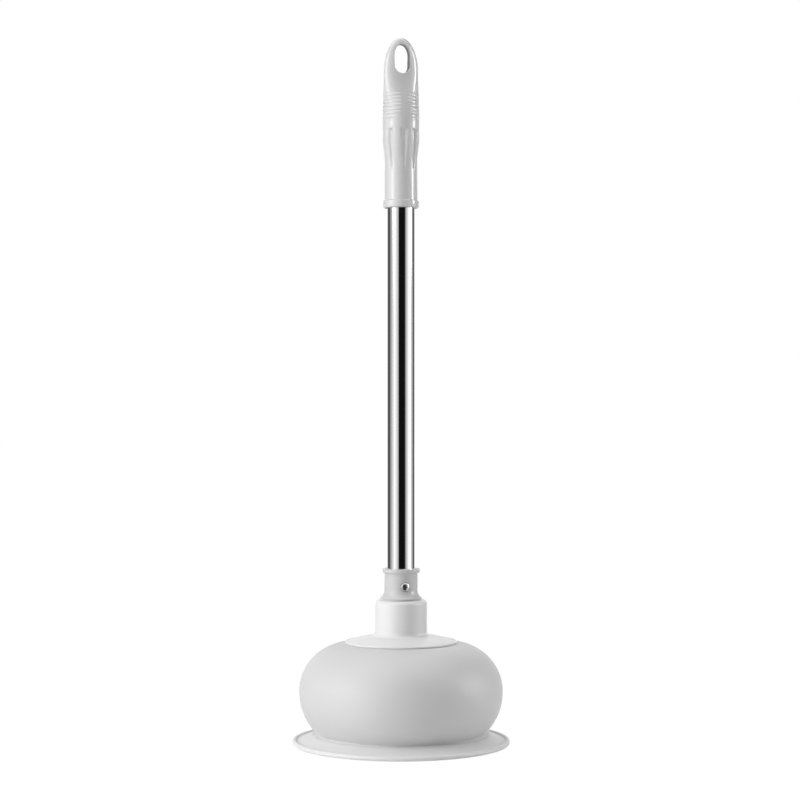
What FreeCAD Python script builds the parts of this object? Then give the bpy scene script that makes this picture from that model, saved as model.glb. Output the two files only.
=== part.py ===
import FreeCAD, Part
import math
import os
import re
import Sketcher

# Toilet plunger, standing on its rubber lip. +Z is up, the origin is the centre of the lip's underside,
# and -Y is the front, where the collar's screw is. Millimetres.

SIZES = {
    # rubber cup
    "bell_height": 68.6,
    "bulge_radius": 69.47,
    "crown_arc": 32.6,
    "crown_thickness": 4.5,
    "bell_wall": 3.0,
    "waist_inset": 12.27,
    "waist_height": 7.6,
    "mouth_wall": 3.7,
    "mouth_round": 1.5,
    "lip_width": 17.0,
    "lip_thickness": 2.8,
    "bead_radius": 1.7,
    # neck cap
    "disc_radius": 38.1,
    "disc_edge": 1.6,
    "disc_rim_round": 0.7,
    "dome_rise": 5.2,
    "dome_arc": 75.0,
    "neck_radius": 18.0,
    "neck_height": 29.5,
    "neck_foot_round": 2.9,
    "neck_top_round": 2.8,
    "spigot_radius": 12.0,
    "spigot_clearance": 0.4,
    # the coarse screw thread between the neck and the rod
    "thread_radius": 11.0,
    "thread_depth": 1.4,
    "thread_pitch": 5.0,
    "thread_crest": 1.1,
    "thread_flank": 0.7,
    "thread_clearance": 0.3,
    "thread_run_out": 1.2,
    "shank_length": 20.0,
    "shank_wall": 3.2,
    "bore_spare": 4.4,
    # clamp under the crown
    "plate_margin": 9.0,
    "plate_thickness": 3.0,
    "plate_rim_height": 2.0,
    "plate_rim_width": 2.2,
    "plate_boss_radius": 9.5,
    "plate_rib_width": 1.6,
    "washer_radius": 7.5,
    "washer_thickness": 1.2,
    "clamp_shank_radius": 2.4,
    "clamp_shank_length": 15.0,
    "clamp_head_radius": 4.6,
    "clamp_head_height": 2.9,
    # gasket and rod collar
    "gasket_thickness": 0.8,
    "gasket_inset": 0.2,
    "collar_height": 20.6,
    "collar_floor": 3.0,
    "sleeve_wall": 1.9,
    "flare_width": 2.95,
    "flare_rise": 4.9,
    "flare_lip": 0.4,
    "collar_rim_width": 1.4,
    "collar_rim_height": 2.8,
    "collar_rim_round": 0.6,
    "collar_screw_height": 8.6,
    "collar_shank_radius": 1.45,
    "collar_shank_length": 8.0,
    "collar_head_radius": 3.15,
    "collar_head_height": 2.1,
    "screw_clearance": 0.15,
    # rod
    "tube_radius": 9.5,
    "tube_wall": 0.5,
    "tube_length": 323.5,
    "plug_length": 15.0,
    "plug_chamfer": 0.95,
    "fit_clearance": 0.05,
    # handle grip
    "grip_length": 116.3,
    "grip_wall": 1.7,
    "waist_taper": 0.2,
    "grip_rim_width": 1.2,
    "grip_rim_height": 4.9,
    "grip_rim_round": 0.6,
    "grip_swell": 1.4,
    "swell_length": 15.0,
    "swell_below_flat": 13.4,
    "flatten_length": 32.9,
    "crest_height": 23.4,
    "loop_half_width": 12.0,
    "loop_half_depth": 5.3,
    "hang_half_width": 5.45,
    "hang_height": 20.0,
    "hang_arch": 8.2,
    "hang_top_wall": 4.7,
    "rib_pitch": 2.53,
    "rib_width": 1.2,
    "rib_proud": 0.3,
    "flute_length": 27.0,
    "flute_depth": 1.0,
    "flute_cutter_radius": 6.0,
    "flute_below_flat": 6.6,
}

# A screw's proportions: shares of its head's radius and height, and of its shank's radius.
HEAD_SIDE = 0.35
HEAD_FLAT = 0.35
HEAD_DOME = 0.95
SHANK_TIP = 0.3
CROSS_WING = 0.16
CROSS_ARM = 0.55
CROSS_DEPTH = 0.55

RIB_COUNT = 9
FLATTEN_STEPS = 5
PLATE_RIBS = 6
FLUTE_ANGLES = [-50, 0, 36, 130, 180, 216]
CUTTING_TYPES = ["PartDesign::Pocket", "PartDesign::Groove", "PartDesign::SubtractiveHelix",
                 "PartDesign::SubtractiveCylinder"]
SMALLEST_CHANGE = 0.5  # cubic millimetres

# Lengths that follow from the sizes above, as formulas.
BULGE_HEIGHT = "(bell_height - crown_arc)"
SKIRT_DROP = f"({BULGE_HEIGHT} - waist_height)"
SKIRT_ARC = f"(({SKIRT_DROP} ^ 2 + waist_inset ^ 2) / (2 * waist_inset))"
WAIST_RADIUS = "(bulge_radius - waist_inset)"
MOUTH_RADIUS = f"({WAIST_RADIUS} - mouth_wall)"
LIP_RADIUS = f"({WAIST_RADIUS} + lip_width)"
INNER_CROWN_ARC = "(crown_arc - crown_thickness)"
INNER_CROWN_RADIUS = f"(bulge_radius - bell_wall - {INNER_CROWN_ARC})"
PLATE_RADIUS = f"({INNER_CROWN_RADIUS} - plate_margin)"
THREAD_CORE = "(thread_radius - thread_depth)"
BORE_DEPTH = "(shank_length - gasket_thickness + bore_spare)"
SLEEVE_RADIUS = "(tube_radius + sleeve_wall)"
FLARE_RADIUS = f"({SLEEVE_RADIUS} + flare_width)"
GRIP_WAIST = "(tube_radius + grip_wall)"
GRIP_RADIUS = f"({GRIP_WAIST} + grip_swell)"
CREST_START = "(grip_length - crest_height)"
SOCKET_DEPTH = f"({CREST_START} - flatten_length)"

# Heights of the pieces above the floor.
PLATE_BASE = "bell_height - crown_thickness - plate_thickness"
WASHER_TOP = f"{PLATE_BASE} - plate_rim_height"
NECK_TOP = "bell_height + neck_height"
COLLAR_BASE = f"{NECK_TOP} + gasket_thickness"
TUBE_BASE = f"{COLLAR_BASE} + collar_floor"
GRIP_BASE = f"{TUBE_BASE} + tube_length - {SOCKET_DEPTH}"

doc = FreeCAD.newDocument("ToiletPlunger")
sheet = doc.addObject("Spreadsheet::Sheet", "Sizes")
for row, (size_name, size_value) in enumerate(SIZES.items(), start=1):
    sheet.set(f"A{row}", size_name)
    sheet.set(f"B{row}", str(size_value))
    sheet.setAlias(f"B{row}", size_name)
doc.recompute()


# ---------------------------------------------------------------- helpers

def formula(text):
    """The same formula, with every size name pointed at its cell."""
    def to_cell(word):
        return "Sizes." + word.group() if word.group() in SIZES else word.group()
    return re.sub(r"[a-z_]+", to_cell, text)


def number(text):
    """What a formula gives now."""
    return float(sheet.evalExpression(formula(text)))


def bind(feature, path, text):
    feature.setExpression(path, formula(text))


def new_body(name, height="0"):
    """An empty body, at a height above the floor."""
    body = doc.addObject("PartDesign::Body", name)
    body.Label = name
    bind(body, "Placement.Base.z", height)
    return body


def origin_plane(body, role):
    return next(part for part in body.Origin.OriginFeatures if part.Role == role)


def add_sketch(body, name, plane="XZ_Plane", lift="0"):
    """A sketch on a plane of its body's origin, lifted along the plane's normal."""
    sketch = body.newObject("Sketcher::SketchObject", name)
    sketch.AttachmentSupport = [(origin_plane(body, plane), "")]
    sketch.MapMode = "FlatFace"
    bind(sketch, "AttachmentOffset.Base.z", lift)
    return sketch


def arc_between(start, end, radius, turn):
    """The arc of that radius from start to end, under half a circle, turning left or right."""
    chord = end - start
    reach = math.sqrt(max(radius ** 2 - (chord.Length / 2) ** 2, 0.0))
    side = FreeCAD.Vector(-chord.y, chord.x, 0).normalize()
    if turn == "right":
        side = side * -1
        start, end = end, start
    centre = (start + end) * 0.5 + side * reach
    first = math.atan2(start.y - centre.y, start.x - centre.x)
    last = math.atan2(end.y - centre.y, end.x - centre.x)
    return Part.ArcOfCircle(Part.Circle(centre, FreeCAD.Vector(0, 0, 1), radius), first, last)


def outline(body, name, corners, plane="XZ_Plane", lift="0"):
    """A closed outline. A corner is (across, up), both formulas. One that goes on with a radius and
    left or right has an arc, not a straight side, on its way to the next corner."""
    sketch = add_sketch(body, name, plane, lift)
    points = [FreeCAD.Vector(number(corner[0]), number(corner[1]), 0) for corner in corners]
    first_ends = []
    last_ends = []
    bound = []
    for index, corner in enumerate(corners):
        start = points[index]
        end = points[(index + 1) % len(points)]
        if len(corner) == 2:
            side = sketch.addGeometry(Part.LineSegment(start, end))
            first_ends.append((side, 1))
            last_ends.append((side, 2))
        else:
            radius = number(corner[2])
            side = sketch.addGeometry(arc_between(start, end, radius, corner[3]))
            turns_left = corner[3] == "left"
            first_ends.append((side, 1 if turns_left else 2))
            last_ends.append((side, 2 if turns_left else 1))
            bound.append((Sketcher.Constraint("Radius", side, radius), corner[2]))
    for index, corner in enumerate(corners):
        sketch.addConstraint(Sketcher.Constraint("Coincident", *last_ends[index - 1], *first_ends[index]))
        for direction, axis, text, place in (("DistanceX", -2, corner[0], points[index].x),
                                             ("DistanceY", -1, corner[1], points[index].y)):
            if text == "0":
                sketch.addConstraint(Sketcher.Constraint("PointOnObject", *first_ends[index], axis))
            else:
                bound.append((Sketcher.Constraint(direction, -1, 1, *first_ends[index], place), text))
    for constraint, text in bound:
        bind(sketch, f"Constraints[{sketch.addConstraint(constraint)}]", text)
    return sketch


def circle(body, name, radius, plane="XY_Plane", lift="0", up="0"):
    """A circle round the body's axis or, on an upright plane, at a height on it."""
    sketch = add_sketch(body, name, plane, lift)
    middle = FreeCAD.Vector(0, number(up), 0)
    ring = sketch.addGeometry(Part.Circle(middle, FreeCAD.Vector(0, 0, 1), number(radius)))
    sketch.addConstraint(Sketcher.Constraint("PointOnObject", ring, 3, -2))
    if up == "0":
        sketch.addConstraint(Sketcher.Constraint("PointOnObject", ring, 3, -1))
    else:
        height = sketch.addConstraint(Sketcher.Constraint("DistanceY", -1, 1, ring, 3, middle.y))
        bind(sketch, f"Constraints[{height}]", up)
    size = sketch.addConstraint(Sketcher.Constraint("Radius", ring, number(radius)))
    bind(sketch, f"Constraints[{size}]", radius)
    return sketch


def ellipse(body, name, half_width, half_height, plane="XY_Plane", lift="0", up="0"):
    """An ellipse round the body's axis or, on an upright plane, at a height on it."""
    sketch = add_sketch(body, name, plane, lift)
    middle = FreeCAD.Vector(0, number(up), 0)
    across = FreeCAD.Vector(number(half_width), 0, 0)
    along = FreeCAD.Vector(0, number(half_height), 0)
    wide = across.Length >= along.Length
    major, minor = (across, along) if wide else (along, across)
    ring = sketch.addGeometry(Part.Ellipse(middle + major, middle + minor, middle))
    sketch.exposeInternalGeometry(ring)
    sketch.addConstraint(Sketcher.Constraint("PointOnObject", ring, 3, -2))
    sketch.addConstraint(Sketcher.Constraint("Horizontal" if wide else "Vertical", ring + 1))
    if up == "0":
        sketch.addConstraint(Sketcher.Constraint("PointOnObject", ring, 3, -1))
    else:
        height = sketch.addConstraint(Sketcher.Constraint("DistanceY", -1, 1, ring, 3, middle.y))
        bind(sketch, f"Constraints[{height}]", up)
    for line, length, text in ((ring + 1, major.Length, half_width if wide else half_height),
                               (ring + 2, minor.Length, half_height if wide else half_width)):
        size = sketch.addConstraint(Sketcher.Constraint("Distance", line, 2 * length))
        bind(sketch, f"Constraints[{size}]", f"2 * {text}")
    return sketch


def turn(body, name, sketch, kind="PartDesign::Revolution"):
    """A full turn of a sketch about its upright axis."""
    feature = body.newObject(kind, name)
    feature.Profile = sketch
    feature.ReferenceAxis = (sketch, ["V_Axis"])
    feature.Angle = 360
    return feature


def pad(body, name, sketch, length, down=False):
    feature = body.newObject("PartDesign::Pad", name)
    feature.Profile = sketch
    bind(feature, "Length", length)
    feature.Reversed = down
    return feature


def pocket(body, name, sketch, length, other_way=False, both_ways=False):
    """A cut from a sketch's plane: against its normal, along it, or half its length each way."""
    feature = body.newObject("PartDesign::Pocket", name)
    feature.Profile = sketch
    bind(feature, "Length", length)
    feature.Midplane = both_ways
    feature.Reversed = other_way
    return feature


def helix(body, name, sketch, height, kind):
    """A thread swept from a sketch, right-handed about the upright axis."""
    doc.recompute()
    feature = body.newObject(kind, name)
    feature.Profile = sketch
    feature.ReferenceAxis = (sketch, ["V_Axis"])
    feature.Mode = "pitch-height-angle"
    bind(feature, "Pitch", "thread_pitch")
    bind(feature, "Height", height)
    feature.LeftHanded = False
    return feature


def round_rings(body, name, base, places, radius):
    """A fillet on the circular edges at the places, each (radius, height)."""
    doc.recompute()
    targets = [(number(across), number(up)) for across, up in places]
    names = []
    for index, edge in enumerate(base.Shape.Edges, start=1):
        if not isinstance(edge.Curve, Part.Circle):
            continue
        for across, up in targets:
            if abs(edge.Curve.Radius - across) < 0.01 and abs(edge.Curve.Center.z - up) < 0.01:
                names.append(f"Edge{index}")
    if len(names) != len(targets):
        raise RuntimeError(f"{name}: {len(targets)} edges to round, {len(names)} found")
    feature = body.newObject("PartDesign::Fillet", name)
    feature.Base = (base, names)
    bind(feature, "Radius", radius)
    return feature


def box_corners(left, right, low, high):
    return [(left, low), (right, low), (right, high), (left, high)]


# ---------------------------------------------------------------- rubber cup

def make_rubber_cup():
    """One moulding: a bell with a flat crown, a bulging skirt and a wide sealing lip."""
    body = new_body("rubber_cup")
    hole = "spigot_radius + spigot_clearance"
    bead_drop = "(lip_thickness - bead_radius)"
    inner_skirt = f"({SKIRT_ARC} - bell_wall)"
    skirt_centre = f"(bulge_radius - {SKIRT_ARC})"
    mouth_top = f"{BULGE_HEIGHT} - sqrt({inner_skirt} ^ 2 - ({MOUTH_RADIUS} - {skirt_centre}) ^ 2)"
    under_crown = "bell_height - crown_thickness"
    profile = outline(body, "BellProfile", [
        (hole, "bell_height"),
        ("bulge_radius - crown_arc", "bell_height", "crown_arc", "right"),
        ("bulge_radius", BULGE_HEIGHT, SKIRT_ARC, "right"),
        (WAIST_RADIUS, "waist_height"),
        (f"{LIP_RADIUS} - bead_radius - sqrt(bead_radius ^ 2 - {bead_drop} ^ 2)", "lip_thickness",
         "bead_radius", "right"),
        (LIP_RADIUS, "bead_radius", "bead_radius", "right"),
        (f"{LIP_RADIUS} - bead_radius", "0"),
        (MOUTH_RADIUS, "0"),
        (MOUTH_RADIUS, mouth_top, inner_skirt, "left"),
        ("bulge_radius - bell_wall", BULGE_HEIGHT, INNER_CROWN_ARC, "left"),
        (INNER_CROWN_RADIUS, under_crown),
        (hole, under_crown),
    ])
    bell = turn(body, "Bell", profile)
    round_rings(body, "MouthRound", bell, [(MOUTH_RADIUS, "0")], "mouth_round")
    return body


# ---------------------------------------------------------------- neck cap

def thread_profile(body, name, root, gap, low):
    """The thread's section: a blunt wedge that stands on the root radius, wider by the gap all round."""
    half_crest = f"(thread_crest / 2 + {gap})"
    half_root = f"({half_crest} + thread_flank)"
    middle = f"({low} + thread_pitch / 2)"
    return outline(body, name, [
        (f"{root} - thread_clearance / 2", f"{middle} - {half_root}"),
        (f"thread_radius + {gap}", f"{middle} - {half_crest}"),
        (f"thread_radius + {gap}", f"{middle} + {half_crest}"),
        (f"{root} - thread_clearance / 2", f"{middle} + {half_root}"),
    ])


def make_neck_cap():
    """The disc that clamps the crown and the neck that takes the rod's thread, in one moulding."""
    body = new_body("neck_cap", "bell_height")
    profile = outline(body, "CapProfile", [
        ("0", "-crown_thickness"),
        ("spigot_radius", "-crown_thickness"),
        ("spigot_radius", "0"),
        ("disc_radius", "0"),
        ("disc_radius", "disc_edge", "dome_arc", "left"),
        ("neck_radius", "dome_rise"),
        ("neck_radius", "neck_height"),
        ("0", "neck_height"),
    ])
    cap = turn(body, "Cap", profile)
    rim = round_rings(body, "DiscRimRound", cap, [("disc_radius", "disc_edge")], "disc_rim_round")
    foot = round_rings(body, "NeckFootRound", rim, [("neck_radius", "dome_rise")], "neck_foot_round")
    round_rings(body, "NeckTopRound", foot, [("neck_radius", "neck_height")], "neck_top_round")
    bore_radius = f"{THREAD_CORE} + thread_clearance"
    pocket(body, "ThreadBore", circle(body, "ThreadBoreCircle", bore_radius, lift="neck_height"), BORE_DEPTH)
    low = "(neck_height + gasket_thickness - shank_length)"
    groove = thread_profile(body, "GrooveProfile", f"({bore_radius})", "thread_clearance",
                            f"({low} - thread_pitch)")
    helix(body, "ThreadGroove", groove, "shank_length + thread_pitch", "PartDesign::SubtractiveHelix")
    pilot_depth = "plate_thickness + plate_rim_height + washer_thickness"
    pocket(body, "ScrewPilot",
           circle(body, "ScrewPilotCircle", "clamp_shank_radius + fit_clearance", lift="-crown_thickness"),
           f"clamp_shank_length - ({pilot_depth}) + fit_clearance", other_way=True)
    return body


# ---------------------------------------------------------------- clamp under the crown

def make_clamp_plate():
    """A ribbed plastic disc that holds the crown up against the cap."""
    body = new_body("clamp_plate", PLATE_BASE)
    pad(body, "Plate", circle(body, "PlateCircle", PLATE_RADIUS), "plate_thickness")
    ring = outline(body, "RimProfile", box_corners(f"{PLATE_RADIUS} - plate_rim_width", PLATE_RADIUS,
                                                   "-plate_rim_height", "0"))
    turn(body, "Rim", ring)
    pad(body, "Boss", circle(body, "BossCircle", "plate_boss_radius"), "plate_rim_height", down=True)
    half_rib = "plate_rib_width / 2"
    rib_sketch = outline(body, "RibOutline",
                         box_corners("plate_boss_radius - plate_rib_width",
                                     f"{PLATE_RADIUS} - plate_rim_width / 2", f"-{half_rib}", half_rib),
                         plane="XY_Plane")
    rib = pad(body, "Rib", rib_sketch, "plate_rim_height", down=True)
    doc.recompute()
    ribs = body.newObject("PartDesign::PolarPattern", "Ribs")
    ribs.Originals = [rib]
    ribs.Axis = (rib_sketch, ["N_Axis"])
    ribs.Angle = 360
    ribs.Occurrences = PLATE_RIBS
    body.Tip = ribs
    doc.recompute()
    pocket(body, "ScrewHole",
           circle(body, "ScrewHoleCircle", "clamp_shank_radius + screw_clearance", lift="plate_thickness"),
           "plate_thickness + plate_rim_height")
    return body


def make_clamp_washer():
    body = new_body("clamp_washer", f"{WASHER_TOP} - washer_thickness")
    turn(body, "Washer", outline(body, "WasherProfile", box_corners(
        "clamp_shank_radius + screw_clearance", "washer_radius", "0", "washer_thickness")))
    return body


def make_screw(name, prefix):
    """A pan head screw with a cross recess. Its seat is at height 0 and its shank points up."""
    body = doc.addObject("PartDesign::Body", name)
    body.Label = name
    head = f"{prefix}_head_radius"
    crown = f"{prefix}_head_height"
    shank = f"{prefix}_shank_radius"
    length = f"{prefix}_shank_length"
    side = f"({HEAD_SIDE} * {crown})"
    profile = outline(body, "ScrewProfile", [
        ("0", f"-{crown}"),
        (f"{HEAD_FLAT} * {head}", f"-{crown}", f"{HEAD_DOME} * {head}", "left"),
        (head, f"-{side}"),
        (head, "0"),
        (shank, "0"),
        (shank, f"{length} - {shank}"),
        (f"{SHANK_TIP} * {shank}", length),
        ("0", length),
    ])
    turn(body, "Screw", profile)
    wing = f"({CROSS_WING} * {head})"
    arm = f"({CROSS_ARM} * {head})"
    cross = outline(body, "CrossOutline", [
        (f"-{wing}", f"-{arm}"), (wing, f"-{arm}"), (wing, f"-{wing}"), (arm, f"-{wing}"),
        (arm, wing), (wing, wing), (wing, arm), (f"-{wing}", arm),
        (f"-{wing}", wing), (f"-{arm}", wing), (f"-{arm}", f"-{wing}"), (f"-{wing}", f"-{wing}"),
    ], plane="XY_Plane", lift=f"-{crown}")
    pocket(body, "CrossRecess", cross, f"{CROSS_DEPTH} * {crown}", other_way=True)
    return body


def make_clamp_screw():
    body = make_screw("clamp_screw", "clamp")
    bind(body, "Placement.Base.z", f"{WASHER_TOP} - washer_thickness")
    return body


# ---------------------------------------------------------------- gasket and rod collar

def make_thread_gasket():
    """The thin rubber ring between the neck and the collar's flare."""
    body = new_body("thread_gasket", NECK_TOP)
    turn(body, "Gasket", outline(body, "GasketProfile", box_corners(
        f"{THREAD_CORE} + 2 * thread_clearance", f"{FLARE_RADIUS} - gasket_inset", "0", "gasket_thickness")))
    return body


def seat_depth():
    """How far a flat seat as wide as the screw's head sinks into the round sleeve."""
    width = "(collar_head_radius + screw_clearance)"
    return f"({SLEEVE_RADIUS} - sqrt({SLEEVE_RADIUS} ^ 2 - {width} ^ 2))"


def make_rod_collar():
    """The socket that carries the tube, with the threaded shank under it."""
    body = new_body("rod_collar", COLLAR_BASE)
    rim_radius = f"({SLEEVE_RADIUS} + collar_rim_width)"
    rim_low = "(collar_height - collar_rim_height)"
    flare_arc = "(flare_width ^ 2 + (flare_rise - flare_lip) ^ 2) / (2 * flare_width)"
    profile = outline(body, "CollarProfile", [
        ("0", "-shank_length"),
        (THREAD_CORE, "-shank_length"),
        (THREAD_CORE, "0"),
        (FLARE_RADIUS, "0"),
        (FLARE_RADIUS, "flare_lip", flare_arc, "right"),
        (SLEEVE_RADIUS, "flare_rise"),
        (SLEEVE_RADIUS, rim_low),
        (rim_radius, rim_low),
        (rim_radius, "collar_height"),
        ("0", "collar_height"),
    ])
    collar = turn(body, "Collar", profile)
    round_rings(body, "RimRound", collar, [(rim_radius, rim_low), (rim_radius, "collar_height")],
                "collar_rim_round")
    wedge = thread_profile(body, "ThreadProfile", THREAD_CORE, "0", "-shank_length")
    helix(body, "Thread", wedge, "shank_length - thread_pitch - gasket_thickness - thread_run_out",
          "PartDesign::AdditiveHelix")
    pocket(body, "TubeSocket",
           circle(body, "TubeSocketCircle", "tube_radius + fit_clearance", lift="collar_height"),
           "collar_height - collar_floor")
    pocket(body, "ShankBore",
           circle(body, "ShankBoreCircle", f"{THREAD_CORE} - shank_wall", lift="-shank_length"),
           "shank_length - collar_floor", other_way=True)
    seat = f"({SLEEVE_RADIUS} - {seat_depth()})"
    pocket(body, "ScrewSeat",
           circle(body, "ScrewSeatCircle", "collar_head_radius + screw_clearance", plane="XZ_Plane",
                  lift=seat, up="collar_screw_height"),
           "collar_rim_width + sleeve_wall", other_way=True)
    pocket(body, "ScrewHole",
           circle(body, "ScrewHoleCircle", "collar_shank_radius + screw_clearance", plane="XZ_Plane",
                  up="collar_screw_height"),
           SLEEVE_RADIUS, other_way=True)
    return body


def make_collar_screw():
    """The screw that pins the collar to the tube, from the front."""
    body = make_screw("collar_screw", "collar")
    body.Placement.Rotation = FreeCAD.Rotation(FreeCAD.Vector(1, 0, 0), -90)
    bind(body, "Placement.Base.y", f"-({SLEEVE_RADIUS} - {seat_depth()})")
    bind(body, "Placement.Base.z", f"{COLLAR_BASE} + collar_screw_height")
    return body


# ---------------------------------------------------------------- rod

def make_rod_tube():
    body = new_body("rod_tube", TUBE_BASE)
    turn(body, "Tube", outline(body, "TubeProfile", box_corners(
        "tube_radius - tube_wall", "tube_radius", "0", "tube_length")))
    pocket(body, "ScrewHole",
           circle(body, "ScrewHoleCircle", "collar_shank_radius + screw_clearance", plane="XZ_Plane",
                  up="collar_screw_height - collar_floor"),
           "2 * tube_radius", other_way=True)
    return body


def make_tube_plug():
    """The plastic plug in the tube's foot that the collar's screw bites into."""
    body = new_body("tube_plug", TUBE_BASE)
    radius = "(tube_radius - tube_wall - fit_clearance)"
    turn(body, "Plug", outline(body, "PlugProfile", [
        ("0", "0"),
        (radius, "0"),
        (radius, "plug_length - plug_chamfer"),
        (f"{radius} - plug_chamfer", "plug_length"),
        ("0", "plug_length"),
    ]))
    pocket(body, "ScrewPilot",
           circle(body, "ScrewPilotCircle", "collar_shank_radius + fit_clearance", plane="XZ_Plane",
                  lift=f"{SLEEVE_RADIUS} - {seat_depth()} - collar_shank_length - fit_clearance",
                  up="collar_screw_height - collar_floor"),
           "2 * tube_radius", other_way=True)
    return body


# ---------------------------------------------------------------- handle grip

def smooth_step(share):
    return share * share * (3 - 2 * share)


def flattened(share):
    """Half the width and half the depth of the grip, part of the way from round to flat."""
    blend = round(smooth_step(share), 5)
    half_width = f"({GRIP_RADIUS} + (loop_half_width - {GRIP_RADIUS}) * {blend})"
    half_depth = f"({GRIP_RADIUS} + (loop_half_depth - {GRIP_RADIUS}) * {blend})"
    return half_width, half_depth


def make_grip_stem(body):
    """The round lower part: a rim, a slim waist and a swell."""
    rim_radius = f"({GRIP_WAIST} + grip_rim_width)"
    swell_top = f"({SOCKET_DEPTH} - swell_below_flat)"
    swell_arc = "(swell_length ^ 2 + grip_swell ^ 2) / (4 * grip_swell)"
    stem = turn(body, "Stem", outline(body, "StemProfile", [
        ("0", "0"),
        (rim_radius, "0"),
        (rim_radius, "grip_rim_height"),
        (f"{GRIP_WAIST} + waist_taper", "grip_rim_height"),
        (GRIP_WAIST, f"{swell_top} - swell_length", swell_arc, "right"),
        (f"{GRIP_WAIST} + grip_swell / 2", f"{swell_top} - swell_length / 2", swell_arc, "left"),
        (GRIP_RADIUS, swell_top),
        (GRIP_RADIUS, SOCKET_DEPTH),
        ("0", SOCKET_DEPTH),
    ]))
    return round_rings(body, "RimRound", stem, [(rim_radius, "0"), (rim_radius, "grip_rim_height")],
                       "grip_rim_round")


def make_grip_top(body):
    """The upper part, from round to a flat oval, and its domed crest."""
    sections = [circle(body, "RoundSection", GRIP_RADIUS, lift=SOCKET_DEPTH)]
    for step in range(1, FLATTEN_STEPS + 1):
        half_width, half_depth = flattened(step / FLATTEN_STEPS)
        lift = f"{SOCKET_DEPTH} + flatten_length * {step} / {FLATTEN_STEPS}"
        sections.append(ellipse(body, f"OvalSection{step}", half_width, half_depth, lift=lift))
    doc.recompute()
    loft = body.newObject("PartDesign::AdditiveLoft", "Flattening")
    loft.Profile = sections[0]
    loft.Sections = sections[1:]
    doc.recompute()
    crest = body.newObject("PartDesign::AdditiveEllipsoid", "Crest")
    crest.AttachmentSupport = [(origin_plane(body, "XY_Plane"), "")]
    crest.MapMode = "FlatFace"
    bind(crest, "AttachmentOffset.Base.z", CREST_START)
    bind(crest, "Radius1", "crest_height")
    bind(crest, "Radius2", "loop_half_width")
    bind(crest, "Radius3", "loop_half_depth")
    crest.Angle1 = 0
    crest.Angle2 = 90
    return crest


def make_grip_details(body):
    """Finger ribs round the top, flutes below them, the hang hole and the tube's socket."""
    lowest = f"{SOCKET_DEPTH} + rib_pitch / 2"
    for index in range(RIB_COUNT):
        height = f"{lowest} + {index} * rib_pitch - rib_width / 2"
        share = (index + 0.5) * number("rib_pitch") / number("flatten_length")
        half_width, half_depth = flattened(share)
        band = ellipse(body, f"RibSection{index + 1}", f"({half_width} + rib_proud)",
                       f"({half_depth} + rib_proud)", lift=height)
        pad(body, f"Rib{index + 1}", band, "rib_width")
    low_reach = f"({GRIP_WAIST} + flute_cutter_radius)"
    lean = "atan((grip_swell - flute_depth) / flute_length)"
    flute_low = f"({SOCKET_DEPTH} - flute_below_flat - flute_length)"
    for index, angle in enumerate(FLUTE_ANGLES, start=1):
        flute = body.newObject("PartDesign::SubtractiveCylinder", f"Flute{index}")
        flute.AttachmentSupport = [(origin_plane(body, "XY_Plane"), "")]
        flute.MapMode = "FlatFace"
        bind(flute, "Radius", "flute_cutter_radius")
        bind(flute, "Height", "flute_length")
        place = f"vector({low_reach} * sin({angle}); -{low_reach} * cos({angle}); {flute_low})"
        turned = f"rotation(vector(0; 0; 1); {angle}) * rotation(vector(1; 0; 0); {lean})"
        bind(flute, "AttachmentOffset", f"placement({place}; {turned})")
    doc.recompute()
    arch_base = "(grip_length - hang_top_wall - hang_arch)"
    slot_low = "(grip_length - hang_top_wall - hang_height)"
    half = "hang_half_width"
    slot = outline(body, "HangSlot", [
        (f"-{half}", f"{slot_low} + {half}", half, "left"),
        ("0", slot_low, half, "left"),
        (half, f"{slot_low} + {half}"),
        (half, arch_base),
        (f"-{half}", arch_base),
    ])
    pocket(body, "HangHole", slot, f"4 * {GRIP_RADIUS}", both_ways=True)
    arch = ellipse(body, "HangArch", half, "hang_arch", plane="XZ_Plane", up=arch_base)
    pocket(body, "HangHoleArch", arch, f"4 * {GRIP_RADIUS}", both_ways=True)
    pocket(body, "TubeSocket", circle(body, "TubeSocketCircle", "tube_radius + fit_clearance"),
           SOCKET_DEPTH, other_way=True)


def make_handle_grip():
    body = new_body("handle_grip", GRIP_BASE)
    make_grip_stem(body)
    make_grip_top(body)
    make_grip_details(body)
    return body


# ---------------------------------------------------------------- build, check and write

bodies = [
    make_rubber_cup(),
    make_neck_cap(),
    make_clamp_plate(),
    make_clamp_washer(),
    make_clamp_screw(),
    make_thread_gasket(),
    make_rod_collar(),
    make_collar_screw(),
    make_rod_tube(),
    make_tube_plug(),
    make_handle_grip(),
]
doc.recompute()

for item in doc.Objects:
    if "Invalid" in item.State or "Error" in item.State:
        raise RuntimeError(f"{item.Name} did not build")
for body in bodies:
    if body.Shape.isNull() or not body.Shape.isValid() or len(body.Shape.Solids) != 1:
        raise RuntimeError(f"{body.Label} is not one sound solid")
    for feature in body.Group:
        base = getattr(feature, "BaseFeature", None)
        if base is not None and feature.TypeId != "PartDesign::Fillet":
            change = feature.Shape.Volume - base.Shape.Volume
            cuts = feature.TypeId in CUTTING_TYPES
            if abs(change) < SMALLEST_CHANGE or (change < 0) != cuts:
                raise RuntimeError(f"{body.Label}: {feature.Label} changes the volume by {change:.3f}")

os.makedirs("parts", exist_ok=True)
for body in bodies:
    body.Shape.exportStep(f"parts/{body.Label}.step")
    box = body.Shape.BoundBox
    print(f"{body.Label}: {box.ZMin:.2f} to {box.ZMax:.2f}, {box.XLength:.2f} x {box.YLength:.2f}, "
          f"{body.Shape.Volume:.0f} mm3")
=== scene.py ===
"""Toilet plunger: the looks of its cup, neck, collar, rod and grip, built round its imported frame."""
import math
import bpy
from bpy.props import FloatProperty, FloatVectorProperty, IntProperty, PointerProperty
from mathutils import Matrix, Vector


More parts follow.
